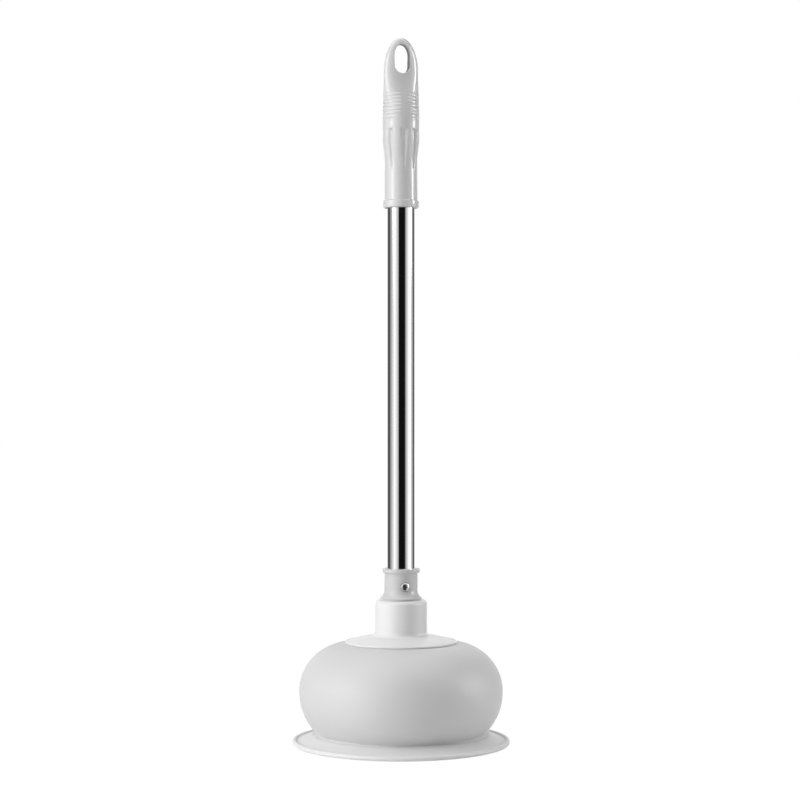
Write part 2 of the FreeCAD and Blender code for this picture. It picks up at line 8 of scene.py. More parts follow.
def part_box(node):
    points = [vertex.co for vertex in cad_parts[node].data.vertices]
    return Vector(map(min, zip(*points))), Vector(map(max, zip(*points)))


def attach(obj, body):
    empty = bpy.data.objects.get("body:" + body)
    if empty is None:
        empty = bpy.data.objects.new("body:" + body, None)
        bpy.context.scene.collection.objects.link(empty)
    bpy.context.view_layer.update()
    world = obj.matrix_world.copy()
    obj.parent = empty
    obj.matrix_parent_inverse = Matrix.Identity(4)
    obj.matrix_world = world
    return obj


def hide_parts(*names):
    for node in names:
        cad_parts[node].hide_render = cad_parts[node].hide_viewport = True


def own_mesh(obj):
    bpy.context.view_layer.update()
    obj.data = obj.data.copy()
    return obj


bl_info = {
    "name": "Toilet Plunger",
    "version": (1, 0, 0),
    "blender": (4, 5, 0),
    "location": "View3D > Sidebar > Plunger",
    "description": "Builds a toilet plunger's soft cup, screw neck, steel rod and ribbed grip",
    "category": "Object",
}

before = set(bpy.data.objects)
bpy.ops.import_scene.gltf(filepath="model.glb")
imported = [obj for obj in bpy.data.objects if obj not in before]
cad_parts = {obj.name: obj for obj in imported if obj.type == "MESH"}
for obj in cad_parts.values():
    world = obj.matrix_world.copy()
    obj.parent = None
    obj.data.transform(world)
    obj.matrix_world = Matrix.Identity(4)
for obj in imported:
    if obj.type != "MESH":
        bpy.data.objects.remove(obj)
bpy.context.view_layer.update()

CUP_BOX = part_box("rubber_cup")
NECK_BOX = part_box("neck_cap")
GASKET_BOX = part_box("thread_gasket")
COLLAR_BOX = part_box("rod_collar")
TUBE_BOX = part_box("rod_tube")
GRIP_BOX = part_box("handle_grip")
SCREW_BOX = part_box("collar_screw")

BELL_TOP = CUP_BOX[1].z
NECK_TOP = NECK_BOX[1].z
COLLAR_BASE = GASKET_BOX[1].z
COLLAR_TOP = COLLAR_BOX[1].z
TUBE_BASE = TUBE_BOX[0].z
TUBE_TOP = TUBE_BOX[1].z
GRIP_BASE = GRIP_BOX[0].z
GRIP_TOP = GRIP_BOX[1].z
TUBE_RADIUS = TUBE_BOX[1].x
SCREW_HEIGHT = (SCREW_BOX[0].z + SCREW_BOX[1].z) / 2
LIP_HEIGHT = 0.0068
THREAD_ROOT = 0.0003  # how far a thread's foot is sunk into its core
TUBE_FIT = 0.00005  # gap between the tube and what holds it
LIP_BLEND = 0.0006  # height over which the bell's colour turns into the lip's paler colour, which is painted light

TURN_STEPS = 192
SMOOTH_ANGLE = math.radians(35)
MERGE_GAP = 1e-6


# ---------------------------------------------------------------- sizes and colours a user would change

def length(name, description, default):
    return FloatProperty(name=name, description=description, default=default, unit="LENGTH", precision=5)


def tint(name, description, default):
    return FloatVectorProperty(name=name, description=description, default=default, subtype="COLOR",
                               size=3, min=0, max=1)


class PlungerCupSizes(bpy.types.PropertyGroup):
    bulge_radius: length("Bulge radius", "Widest radius of the bell", 0.06947)
    bulge_height: length("Bulge height", "Height of the widest place", 0.036)
    crown_radius: length("Crown radius", "Radius of the flat crown under the neck's disc", 0.0366)
    waist_radius: length("Waist radius", "Radius where the skirt meets the lip", 0.0572)
    waist_height: length("Waist height", "Height where the skirt meets the lip", 0.0076)
    skirt_inset: length("Skirt centre", "Radius at which the skirt's curve is centred", 0.03705)
    skirt_drop: length("Skirt drop", "Half height of the skirt's curve", 0.03633)
    lip_radius: length("Lip radius", "Outer radius of the sealing lip", CUP_BOX[1].x)
    bead_radius: length("Bead radius", "Radius of the bead round the lip", 0.0017)
    wall: length("Wall", "Thickness of the bell", 0.003)
    crown_wall: length("Crown wall", "Thickness of the crown", 0.0045)
    mouth_wall: length("Mouth wall", "Thickness of the rubber round the mouth", 0.0037)
    mouth_round: length("Mouth round", "Radius of the mouth's lower edge", 0.0015)
    hole_clearance: length("Hole clearance", "Gap between the spigot and the hole in the crown", 0.0004)
    fillet_rise: length("Fillet rise", "Height of the hollow over the waist", 0.0008)
    fillet_inset: length("Fillet inset", "How far the hollow is drawn in under the skirt", 0.0014)
    fillet_width: length("Fillet width", "Width of the hollow where the skirt meets the lip", 0.0030)
    lip_edge: length("Lip edge", "Height of the lip where it meets its groove", 0.00265)
    groove_inset: length("Groove inset", "From the lip's edge to the groove inside its bead", 0.00442)
    groove_width: length("Groove width", "Width of the groove inside the bead", 0.0006)
    groove_depth: length("Groove depth", "Depth of the groove inside the bead", 0.00015)
    inner_crown_share: FloatProperty(name="Inner crown", default=1.03, min=0.5, max=1.5,
                                     description="Reach of the crown's inside as a share of its rise")


class PlungerNeckSizes(bpy.types.PropertyGroup):
    disc_radius: length("Disc radius", "Radius of the disc on the crown", NECK_BOX[1].x)
    disc_edge: length("Disc edge", "Height of the disc's edge", 0.0016)
    dome_rise: length("Dome rise", "Height of the disc where it meets the neck", 0.0052)
    neck_radius: length("Neck radius", "Outer radius of the neck", 0.018)
    foot_round: length("Foot round", "Radius of the fillet at the neck's foot", 0.0031)
    top_round: length("Top round", "Radius of the neck's top edge", 0.0028)
    spigot_radius: length("Spigot radius", "Radius of the spigot through the crown", 0.012)
    bore_depth: length("Bore depth", "Depth of the threaded bore", 0.0236)
    pilot_radius: length("Pilot radius", "Radius of the clamp screw's hole", 0.0024)
    pilot_depth: length("Pilot depth", "Depth of the clamp screw's hole", 0.0088)
    rim_groove: length("Rim groove", "Width of the fine groove inside the disc's rim", 0.0006)
    rim_groove_depth: length("Rim groove depth", "Depth of the groove inside the disc's rim", 0.0003)
    mouth_chamfer: length("Mouth chamfer", "Chamfer of the bore's mouth and the spigot's foot", 0.0005)
    dome_crown: length("Dome crown", "How far the disc's top bulges between its rim and the neck", 0.0006)
    foot_sink: length("Foot sink", "How far the neck's foot sinks into the dome", 0.0004)


class PlungerThreadSizes(bpy.types.PropertyGroup):
    radius: length("Thread radius", "Outer radius of the rod's thread", 0.011)
    depth: length("Thread depth", "Height of the thread above its core", 0.0014)
    pitch: length("Pitch", "Rise of the thread in one turn", 0.005)
    crest: length("Crest", "Width of the thread's blunt top", 0.0011)
    flank: length("Flank", "Width of each slope of the thread", 0.0007)
    clearance: length("Clearance", "Gap between the two threads", 0.0003)


class PlungerCollarSizes(bpy.types.PropertyGroup):
    sleeve_radius: length("Sleeve radius", "Radius of the collar's sleeve", 0.0114)
    flare_radius: length("Flare radius", "Radius of the collar's foot", COLLAR_BOX[1].x)
    flare_rise: length("Flare rise", "Height of the flare", 0.0062)
    rim_width: length("Rim width", "How far the top rim stands out", 0.0014)
    rim_height: length("Rim height", "Height of the top rim", 0.0028)
    floor: length("Floor", "Thickness under the tube", 0.003)
    shank_bore: length("Shank bore", "Radius of the hollow in the shank", 0.0064)
    head_radius: length("Screw head radius", "Radius of the collar screw's head", 0.00315)
    head_height: length("Screw head height", "Height of the collar screw's head", 0.0021)
    head_clearance: length("Head clearance", "Gap round the collar screw's head", 0.00015)
    pin_hole: length("Screw hole", "Radius of the collar screw's hole", 0.0016)
    shank: length("Screw shank", "Radius of the collar screw's shank", 0.0014)
    edge_round: length("Edge round", "Radius of the rim's edges", 0.0006)
    foot_height: length("Foot height", "Height of the flare's upright edge", 0.0005)


class PlungerTubeSizes(bpy.types.PropertyGroup):
    wall: length("Wall", "Thickness of the tube", 0.0005)
    end_round: length("End round", "Radius of the tube's deburred ends", 0.00015)


class PlungerGripSizes(bpy.types.PropertyGroup):
    waist_radius: length("Waist radius", "Radius of the grip's slim part", 0.0112)
    swell_radius: length("Swell radius", "Radius of the grip's thick part", 0.0126)
    rim_radius: length("Rim radius", "Radius of the rim at the bottom", 0.0124)
    rim_height: length("Rim height", "Height of the rim at the bottom", 0.0049)
    swell_start: length("Swell start", "Height where the grip begins to swell", 0.0316)
    swell_end: length("Swell end", "Height where the swell ends", 0.0466)
    rim_wall: length("Rim wall", "Thickness of the rim round the hollow under it", 0.0013)
    rim_hollow: length("Rim hollow", "Depth of the hollow under the rim", 0.0018)
    edge_round: length("Edge round", "Radius of the rim's edges", 0.0006)
    waist_taper: length("Waist taper", "How much wider the waist is over the rim", 0.0002)
    socket_depth: length("Socket depth", "Depth of the tube's socket", TUBE_TOP - GRIP_BASE)
    crest_height: length("Crest height", "Height of the rounded end", 0.0234)
    loop_half_width: length("Loop half width", "Half width of the flat end", 0.012)
    loop_half_depth: length("Loop half depth", "Half depth of the flat end", 0.0053)
    rib_pitch: length("Rib pitch", "Distance from rib to rib", 0.00253)
    rib_height: length("Rib height", "How far the ribs stand out", 0.00046)
    rib_start: length("Rib start", "Height of the lowest groove", 0.0578)
    rib_count: IntProperty(name="Ribs", description="Number of ribs", default=9, min=1)
    flute_depth: length("Flute depth", "Depth of the finger flutes", 0.0016)
    flute_low: length("Flute foot", "Height of the flutes' lower points", 0.0262)
    flute_high: length("Flute top", "Height of the flutes' blunt tops", 0.0535)
    hole_half_width: length("Hole half width", "Half width of the hang hole", 0.00545)
    hole_height: length("Hole height", "Height of the hang hole", 0.020)
    hole_arch: length("Hole arch", "Height of the arch at the hole's top", 0.0082)
    hole_top_wall: length("Top wall", "Thickness over the hang hole", 0.0047)
    hole_round: length("Hole round", "Radius of the hang hole's edges", 0.0006)


class PlungerFinishes(bpy.types.PropertyGroup):
    cup: tint("Cup", "Colour of the soft cup", (0.645, 0.645, 0.645))
    # the lip's paler colour is painted light, for the light that falls on its upturned face
    lip: tint("Lip", "Colour of the cup's lip, rubbed paler by the floor", (0.76, 0.76, 0.76))
    white: tint("Neck", "Colour of the neck and disc", (0.79, 0.79, 0.79))
    grey: tint("Grip", "Colour of the grip", (0.66, 0.66, 0.66))
    collar: tint("Collar", "Colour of the collar", (0.60, 0.60, 0.60))
    steel: tint("Tube", "Colour of the polished tube", (0.86, 0.86, 0.86))
    plating: tint("Screws", "Colour of the plated screws", (0.55, 0.55, 0.56))
    gasket: tint("Gasket", "Colour of the thin gasket", (0.72, 0.72, 0.72))
    hidden: tint("Hidden mouldings", "Colour of the plate and plug", (0.8, 0.8, 0.78))
    floor: tint("Floor", "Colour of the floor", (0.96, 0.96, 0.96))


class PlungerStageSizes(bpy.types.PropertyGroup):
    azimuth: FloatProperty(name="Azimuth", description="Turn of the camera from the front",
                           default=math.radians(-14.5), subtype="ANGLE")
    distance: length("Distance", "From the rod to the camera", 1.434)
    height: length("Height", "Height of the camera", 0.2344)
    sideways: length("Sideways", "How far the camera stands to its left", 0.0007)
    lens: FloatProperty(name="Lens", description="Focal length in millimetres", default=94.5, min=1)
    floor_radius: length("Floor radius", "Radius of the floor", 9.0)


# ---------------------------------------------------------------- modelling helpers

def deselect_all():
    for item in bpy.context.selected_objects:
        item.select_set(False)


def work_on(piece):
    """The piece alone is selected and active."""
    deselect_all()
    piece.select_set(True)
    bpy.context.view_layer.objects.active = piece


def arc(centre, radii, start, end, steps):
    """Points of an ellipse's arc as (radius, height), with the angles in degrees."""
    points = []
    for index in range(steps + 1):
        angle = math.radians(start + (end - start) * index / steps)
        points.append((centre[0] + radii[0] * math.cos(angle), centre[1] + radii[1] * math.sin(angle)))
    return points


def hollow_curve(start, corner, end, steps, last):
    """Points of the curve from start to end, drawn towards the corner, up to the last step."""
    points = []
    for index in range(1, last + 1):
        share = index / steps
        weights = ((1 - share) ** 2, 2 * share * (1 - share), share ** 2)
        points.append(tuple(sum(weight * point[axis] for weight, point in zip(weights, (start, corner, end)))
                            for axis in (0, 1)))
    return points


def line(start, end, steps):
    """Evenly spaced points from start up to, not with, end."""
    return [(start[0] + (end[0] - start[0]) * index / steps, start[1] + (end[1] - start[1]) * index / steps)
            for index in range(steps)]


def draw_outline(name, outline):
    """A new mesh, one vertex extruded along the (radius, height) points, left in edit mode."""
    deselect_all()
    bpy.ops.mesh.primitive_plane_add(size=0.001, location=(0, 0, 0))
    piece = bpy.context.object
    piece.name = name
    piece.data.name = name
    bpy.ops.object.mode_set(mode="EDIT")
    bpy.ops.mesh.select_all(action="SELECT")
    bpy.ops.mesh.merge(type="CENTER")
    bpy.ops.transform.translate(value=(outline[0][0], 0, outline[0][1]))
    for here, there in zip(outline, outline[1:]):
        step = (there[0] - here[0], 0, there[1] - here[1])
        bpy.ops.mesh.extrude_region_move(TRANSFORM_OT_translate={"value": step})
    return piece


def turned(name, outline, steps=TURN_STEPS, closed=True):
    """A turned piece: the outline spun about the upright axis. A closed outline returns to its start."""
    piece = draw_outline(name, outline + outline[:1] if closed else outline)
    bpy.ops.mesh.select_all(action="SELECT")
    bpy.ops.mesh.remove_doubles(threshold=MERGE_GAP)
    bpy.ops.mesh.spin(steps=steps, angle=math.tau, center=(0, 0, 0), axis=(0, 0, 1))
    bpy.ops.mesh.select_all(action="SELECT")
    bpy.ops.mesh.remove_doubles(threshold=MERGE_GAP)
    bpy.ops.mesh.delete_loose()
    bpy.ops.mesh.select_all(action="SELECT")
    bpy.ops.mesh.normals_make_consistent(inside=False)
    bpy.ops.object.mode_set(mode="OBJECT")
    return piece


def finish_piece(piece, angle=SMOOTH_ANGLE):
    """Smooth shading with crisp edges, and the piece's place in its mesh."""
    work_on(piece)
    bpy.ops.object.transform_apply(location=True, rotation=True, scale=True)
    bpy.ops.object.shade_smooth_by_angle(angle=angle)
    return piece


def apply_modifiers(piece):
    work_on(piece)
    for modifier in list(piece.modifiers):
        bpy.ops.object.modifier_apply(modifier=modifier.name)


def join(pieces):
    """The pieces as one, under the first one's name."""
    work_on(pieces[0])
    for piece in pieces[1:]:
        piece.select_set(True)
    bpy.ops.object.join()
    return pieces[0]


def cut(piece, cutter):
    """Takes the cutter's shape out of the piece, and removes the cutter."""
    modifier = piece.modifiers.new("Cut", "BOOLEAN")
    modifier.operation = "DIFFERENCE"
    modifier.solver = "EXACT"
    modifier.object = cutter
    apply_modifiers(piece)
    bpy.data.objects.remove(cutter)
    return piece


def screw_thread(name, section, pitch, turns, steps_per_turn=72):
    """A thread swept right-handed up the axis from a closed (radius, height) section, with closed ends."""
    piece = draw_outline(name, section + section[:1])
    bpy.ops.mesh.select_all(action="SELECT")
    bpy.ops.mesh.remove_doubles(threshold=MERGE_GAP)
    bpy.ops.mesh.edge_face_add()
    bpy.ops.object.mode_set(mode="OBJECT")
    modifier = piece.modifiers.new("Thread", "SCREW")
    modifier.axis = "Z"
    modifier.angle = math.tau
    modifier.iterations = turns
    modifier.screw_offset = pitch
    modifier.steps = steps_per_turn
    modifier.render_steps = steps_per_turn
    apply_modifiers(piece)
    bpy.ops.object.mode_set(mode="EDIT")
    bpy.ops.mesh.select_all(action="SELECT")
    bpy.ops.mesh.remove_doubles(threshold=MERGE_GAP)
    bpy.ops.mesh.fill_holes(sides=len(section))
    bpy.ops.mesh.select_all(action="SELECT")
    bpy.ops.mesh.normals_make_consistent(inside=False)
    bpy.ops.object.mode_set(mode="OBJECT")
    return piece


def screw_seat(sizes):
    """(radius, distance from the rod's axis) of the flat under the collar screw's head."""
    radius = sizes.head_radius + sizes.head_clearance
    return radius, math.sqrt(sizes.sleeve_radius ** 2 - radius ** 2)


def smooth_step(share):
    share = min(1.0, max(0.0, share))
    return share * share * (3 - 2 * share)


def dress(piece, material, slot, body, *nodes):
    """Gives a finished piece its material, its body and the nodes that it stands for."""
    piece.data.materials.clear()
    piece.data.materials.append(material)
    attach(piece, body)
    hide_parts(*nodes)
    return piece


# ---------------------------------------------------------------- materials

def group_socket(group, name, kind, direction, default=None):
    socket = group.interface.new_socket(name=name, in_out=direction, socket_type=kind)
    if default is not None:
        socket.default_value = default
    return socket


def moulding_group():
    """Fine grain, slow waves and faint handling marks of a moulded surface."""
    found = bpy.data.node_groups.get("Moulded surface")
    if found:
        return found
    group = bpy.data.node_groups.new("Moulded surface", "ShaderNodeTree")
    group_socket(group, "Grain Scale", "NodeSocketFloat", "INPUT", 2500.0)
    group_socket(group, "Wave Scale", "NodeSocketFloat", "INPUT", 45.0)
    group_socket(group, "Grain Share", "NodeSocketFloat", "INPUT", 0.5)
    group_socket(group, "Height", "NodeSocketFloat", "OUTPUT")
    group_socket(group, "Marks", "NodeSocketFloat", "OUTPUT")
    group_socket(group, "Mottle", "NodeSocketFloat", "OUTPUT")
    nodes = group.nodes
    links = group.links
    source = nodes.new("NodeGroupInput")
    result = nodes.new("NodeGroupOutput")
    place = nodes.new("ShaderNodeTexCoord")
    grain = nodes.new("ShaderNodeTexNoise")
    grain.inputs["Detail"].default_value = 3.0
    waves = nodes.new("ShaderNodeTexNoise")
    waves.inputs["Detail"].default_value = 1.0
    marks = nodes.new("ShaderNodeTexNoise")
    marks.inputs["Scale"].default_value = 180.0
    marks.inputs["Detail"].default_value = 6.0
    marks.inputs["Roughness"].default_value = 0.7
    sharpen = nodes.new("ShaderNodeMapRange")
    sharpen.inputs["From Min"].default_value = 0.56
    sharpen.inputs["From Max"].default_value = 0.78
    mix = nodes.new("ShaderNodeMix")
    mix.data_type = "FLOAT"
    for texture in (grain, waves, marks):
        links.new(place.outputs["Object"], texture.inputs["Vector"])
    links.new(source.outputs["Grain Scale"], grain.inputs["Scale"])
    links.new(source.outputs["Wave Scale"], waves.inputs["Scale"])
    links.new(source.outputs["Grain Share"], mix.inputs["Factor"])
    links.new(waves.outputs["Fac"], mix.inputs["A"])
    links.new(grain.outputs["Fac"], mix.inputs["B"])
    links.new(mix.outputs["Result"], result.inputs["Height"])
    links.new(marks.outputs["Fac"], sharpen.inputs["Value"])
    links.new(sharpen.outputs["Result"], result.inputs["Marks"])
    links.new(waves.outputs["Fac"], result.inputs["Mottle"])
    return group


def drawn_metal_group():
    """Fine lines along the axis, as drawing and polishing leave on a tube."""
    found = bpy.data.node_groups.get("Drawn metal")
    if found:
        return found
    group = bpy.data.node_groups.new("Drawn metal", "ShaderNodeTree")
    group_socket(group, "Line Scale", "NodeSocketFloat", "INPUT", 900.0)
    group_socket(group, "Lines", "NodeSocketFloat", "OUTPUT")
    group_socket(group, "Smudges", "NodeSocketFloat", "OUTPUT")
    nodes = group.nodes
    links = group.links
    source = nodes.new("NodeGroupInput")
    result = nodes.new("NodeGroupOutput")
    place = nodes.new("ShaderNodeTexCoord")
    stretch = nodes.new("ShaderNodeMapping")
    stretch.inputs["Scale"].default_value = (1.0, 1.0, 0.012)
    lines = nodes.new("ShaderNodeTexNoise")
    lines.inputs["Detail"].default_value = 4.0
    smudges = nodes.new("ShaderNodeTexNoise")
    smudges.inputs["Scale"].default_value = 38.0
    smudges.inputs["Detail"].default_value = 5.0
    links.new(place.outputs["Object"], stretch.inputs["Vector"])
    links.new(stretch.outputs["Vector"], lines.inputs["Vector"])
    links.new(place.outputs["Object"], smudges.inputs["Vector"])
    links.new(source.outputs["Line Scale"], lines.inputs["Scale"])
    links.new(lines.outputs["Fac"], result.inputs["Lines"])
    links.new(smudges.outputs["Fac"], result.inputs["Smudges"])
    return group


def new_material(name):
    """(material, its node tree, its Principled shader)."""
    material = bpy.data.materials.new(name)
    material.use_nodes = True
    tree = material.node_tree
    return material, tree, tree.nodes["Principled BSDF"]


def placed_group(tree, group, **values):
    node = tree.nodes.new("ShaderNodeGroup")
    node.node_tree = group
    for name, value in values.items():
        node.inputs[name.replace("_", " ")].default_value = value
    return node


def ranged(tree, output, low, high):
    """A mask from 0 to 1 as a value from low to high."""
    node = tree.nodes.new("ShaderNodeMapRange")
    node.inputs["To Min"].default_value = low
    node.inputs["To Max"].default_value = high
    tree.links.new(output, node.inputs["Value"])
    return node.outputs["Result"]


def varied_colour(tree, output, colour, change):
    """The colour, lighter and darker by a share as the mask goes from 0 to 1."""
    node = tree.nodes.new("ShaderNodeMix")
    node.data_type = "RGBA"
    node.inputs["A"].default_value = (*[part * (1 - change) for part in colour], 1)
    node.inputs["B"].default_value = (*[min(1.0, part * (1 + change)) for part in colour], 1)
    tree.links.new(output, node.inputs["Factor"])
    return node.outputs["Result"]


def calculated(tree, operation, first, second=None):
    """A Math node's result; the values are sockets or numbers."""
    node = tree.nodes.new("ShaderNodeMath")
    node.operation = operation
    for socket, value in zip(node.inputs, (first, second)):
        if isinstance(value, bpy.types.NodeSocket):
            tree.links.new(value, socket)
        elif value is not None:
            socket.default_value = value
    return node.outputs[0]


def mixed(tree, factor, first, second):
    """One value or the other, by the factor."""
    node = tree.nodes.new("ShaderNodeMix")
    node.data_type = "FLOAT"
    tree.links.new(factor, node.inputs["Factor"])
    for socket, value in ((node.inputs["A"], first), (node.inputs["B"], second)):
        if isinstance(value, bpy.types.NodeSocket):
            tree.links.new(value, socket)
        else:
            socket.default_value = value
    return node.outputs["Result"]


def faded(tree, output, dark_at, bright_at, strength):
    """A smooth change from nothing at dark_at to the strength at bright_at."""
    node = tree.nodes.new("ShaderNodeMapRange")
    node.interpolation_type = "SMOOTHSTEP"
    node.inputs["From Min"].default_value = dark_at
    node.inputs["From Max"].default_value = bright_at
    node.inputs["To Max"].default_value = strength
    tree.links.new(output, node.inputs["Value"])
    return node.outputs["Result"]


def bumped(tree, output, distance, strength=1.0):
    node = tree.nodes.new("ShaderNodeBump")
    node.inputs["Strength"].default_value = strength
    node.inputs["Distance"].default_value = distance
    tree.links.new(output, node.inputs["Height"])
    return node.outputs["Normal"]


def moulded_material(name, colour, roughness, grain_scale, grain_share, bump, mottle=0.012, marks=0.05,
                     coat=0.0, coat_roughness=0.1, specular=0.5, wave_scale=45.0):
    """Moulded plastic or rubber: grain and slow waves in its bump, and marks in its roughness."""
    found = bpy.data.materials.get(name)
    if found:
        return found
    material, tree, shader = new_material(name)
    surface = placed_group(tree, moulding_group(), Grain_Scale=grain_scale, Grain_Share=grain_share,
                           Wave_Scale=wave_scale)
    mottled = varied_colour(tree, surface.outputs["Mottle"], colour, mottle)
    tree.links.new(mottled, shader.inputs["Base Color"])
    tree.links.new(ranged(tree, surface.outputs["Marks"], roughness, roughness + marks),
                   shader.inputs["Roughness"])
    tree.links.new(bumped(tree, surface.outputs["Height"], bump), shader.inputs["Normal"])
    shader.inputs["Specular IOR Level"].default_value = specular
    shader.inputs["Coat Weight"].default_value = coat
    shader.inputs["Coat Roughness"].default_value = coat_roughness
    return material


def cup_material(finishes):
    """Soft thermoplastic rubber with a dull, slightly bloomed skin, paler on the lip as painted light."""
    found = bpy.data.materials.get("Soft grey rubber")
    if found:
        return found
    material = moulded_material("Soft grey rubber", finishes.cup, 0.45, 1800.0, 0.35, 0.00006,
                                mottle=0.02, marks=0.10, specular=0.5, wave_scale=24.0)
    tree = material.node_tree
    shader = tree.nodes["Principled BSDF"]
    shader.inputs["Sheen Weight"].default_value = 0.05
    shader.inputs["Sheen Roughness"].default_value = 0.5
    skin = shader.inputs["Base Color"].links[0].from_socket
    place = tree.nodes.new("ShaderNodeTexCoord")
    split = tree.nodes.new("ShaderNodeSeparateXYZ")
    tree.links.new(place.outputs["Object"], split.inputs["Vector"])
    # the lip is mixed to its paler colour: painted light
    painted_light = tree.nodes.new("ShaderNodeMix")
    painted_light.data_type = "RGBA"
    painted_light.inputs["B"].default_value = (*finishes.lip, 1)
    on_lip = faded(tree, split.outputs["Z"], LIP_HEIGHT + LIP_BLEND, LIP_HEIGHT, 1.0)
    tree.links.new(on_lip, painted_light.inputs["Factor"])
    tree.links.new(skin, painted_light.inputs["A"])
    tree.links.new(painted_light.outputs["Result"], shader.inputs["Base Color"])
    return material


def white_material(finishes):
    return moulded_material("White gloss plastic", finishes.white, 0.34, 1400.0, 0.12, 0.00002,
                            mottle=0.006, marks=0.06, coat=0.45, coat_roughness=0.05, specular=0.3)


def grip_material(finishes):
    return moulded_material("Grey gloss plastic", finishes.grey, 0.30, 1600.0, 0.15, 0.00002,
                            mottle=0.010, marks=0.06, coat=1.0, coat_roughness=0.04)


def hole_shade_material(finishes):
    """The wall inside the hang hole: the grip's grey at half brightness as painted shade, rougher and less
    glossy.
    """
    shade = [part * 0.5 for part in finishes.grey]
    return moulded_material("Grey plastic with painted shade", shade, 0.55, 1600.0, 0.4, 0.00004, mottle=0.02, marks=0.1,
                            specular=0.2)


def collar_material(finishes):
    return moulded_material("Grey satin plastic", finishes.collar, 0.38, 1600.0, 0.2, 0.00002,
                            mottle=0.010, marks=0.08, coat=0.5, coat_roughness=0.06, specular=0.3)


def hidden_material(finishes):
    return moulded_material("Natural moulding", finishes.hidden, 0.42, 1500.0, 0.4, 0.00008, marks=0.1)


def gasket_material(finishes):
    return moulded_material("Gasket rubber", finishes.gasket, 0.6, 2600.0, 0.6, 0.00005, mottle=0.05)


def steel_material(finishes):
    """Polished stainless tube with faint drawing lines."""
    found = bpy.data.materials.get("Polished stainless")
    if found:
        return found
    material, tree, shader = new_material("Polished stainless")
    surface = placed_group(tree, drawn_metal_group(), Line_Scale=1100.0)
    shader.inputs["Metallic"].default_value = 1.0
    tree.links.new(varied_colour(tree, surface.outputs["Lines"], finishes.steel, 0.02),
                   shader.inputs["Base Color"])
    tree.links.new(ranged(tree, surface.outputs["Smudges"], 0.045, 0.10), shader.inputs["Roughness"])
    tree.links.new(bumped(tree, surface.outputs["Lines"], 0.000004), shader.inputs["Normal"])
    return material


def plating_material(finishes):
    found = bpy.data.materials.get("Bright plating")
    if found:
        return found
    material, tree, shader = new_material("Bright plating")
    surface = placed_group(tree, moulding_group(), Grain_Scale=5200.0, Grain_Share=0.6)
    shader.inputs["Metallic"].default_value = 1.0
    tree.links.new(varied_colour(tree, surface.outputs["Mottle"], finishes.plating, 0.04),
                   shader.inputs["Base Color"])
    tree.links.new(ranged(tree, surface.outputs["Marks"], 0.26, 0.44), shader.inputs["Roughness"])
    tree.links.new(bumped(tree, surface.outputs["Height"], 0.00002), shader.inputs["Normal"])
    return material


# ---------------------------------------------------------------- pieces

# the driver's cross, as shares of the screw head's radius and height
CROSS_FLOOR = 0.10
CROSS_TOP = 0.42
CROSS_MIDDLE = 0.85
CROSS_STRETCH = (2.1, 0.62, 1, 1)


class PLUNGER_OT_cup(bpy.types.Operator):
    """Build the soft cup: bell, skirt and sealing lip in one moulding"""
    bl_idname = "plunger.cup"
    bl_label = "Soft cup"

    def execute(self, context):
        sizes = context.scene.plunger_cup
        neck = context.scene.plunger_neck
        top = BELL_TOP
        inner_top = top - sizes.crown_wall
        hole = neck.spigot_radius + sizes.hole_clearance
        crown_radii = (sizes.bulge_radius - sizes.crown_radius, top - sizes.bulge_height)
        skirt_radii = (sizes.bulge_radius - sizes.skirt_inset, sizes.skirt_drop)
        fillet_start = self.skirt_angle(sizes.waist_height + sizes.fillet_rise, sizes)
        waist = self.skirt_point(fillet_start, sizes)
        bead = sizes.bead_radius
        bead_centre = (sizes.lip_radius - bead, bead)
        lip_start = (sizes.waist_radius + sizes.fillet_width, LIP_HEIGHT)
        groove = (sizes.lip_radius - sizes.groove_inset, sizes.lip_edge)
        inner_bulge = sizes.bulge_radius - sizes.wall
        mouth = sizes.waist_radius - sizes.mouth_wall
        inner_skirt = (skirt_radii[0] - sizes.wall, skirt_radii[1] - sizes.wall)
        mouth_angle = -math.degrees(math.acos((mouth - sizes.skirt_inset) / inner_skirt[0]))
        outline = [(hole, top)]
        outline += line((hole, top), (sizes.crown_radius, top), 6)[1:]
        outline += arc((sizes.crown_radius, sizes.bulge_height), crown_radii, 90, 0, 30)
        outline += arc((sizes.skirt_inset, sizes.bulge_height), skirt_radii, 0, fillet_start, 26)[1:]
        corner = (waist[0] - sizes.fillet_inset, LIP_HEIGHT - 0.0002)
        outline += hollow_curve(waist, corner, lip_start, 7, 6)
        outline += line(lip_start, groove, 8)
        outline += [groove, (groove[0] + sizes.groove_width, groove[1] - sizes.groove_depth)]
        outline += arc(bead_centre, (bead, bead), 152, -90, 20)
        soft = sizes.mouth_round
        outline += line((bead_centre[0], 0.0), (mouth + soft, 0.0), 10)[1:]
        outline += arc((mouth + soft, soft), (soft, soft), 270, 180, 6)
        outline += arc((sizes.skirt_inset, sizes.bulge_height), inner_skirt, mouth_angle, 0, 22)
        inner_rise = crown_radii[1] - sizes.crown_wall
        inner_reach = inner_rise * sizes.inner_crown_share
        inner_centre = (inner_bulge - inner_reach, sizes.bulge_height)
        outline += arc(inner_centre, (inner_reach, inner_rise), 0, 90, 24)[1:]
        outline += [(hole, inner_top)]
        bell = finish_piece(turned("soft_cup", outline))
        finishes = context.scene.plunger_finishes
        dress(bell, cup_material(finishes), "cup_rubber", "cup", "rubber_cup")
        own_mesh(bell)
        return {"FINISHED"}

    @staticmethod
    def skirt_angle(height, sizes):
        """The angle on the skirt's curve, in degrees, at that height."""
        return -math.degrees(math.asin((sizes.bulge_height - height) / sizes.skirt_drop))

    @staticmethod
    def skirt_point(angle, sizes):
        turn = math.radians(angle)
        return (sizes.skirt_inset + (sizes.bulge_radius - sizes.skirt_inset) * math.cos(turn),
                sizes.bulge_height + sizes.skirt_drop * math.sin(turn))


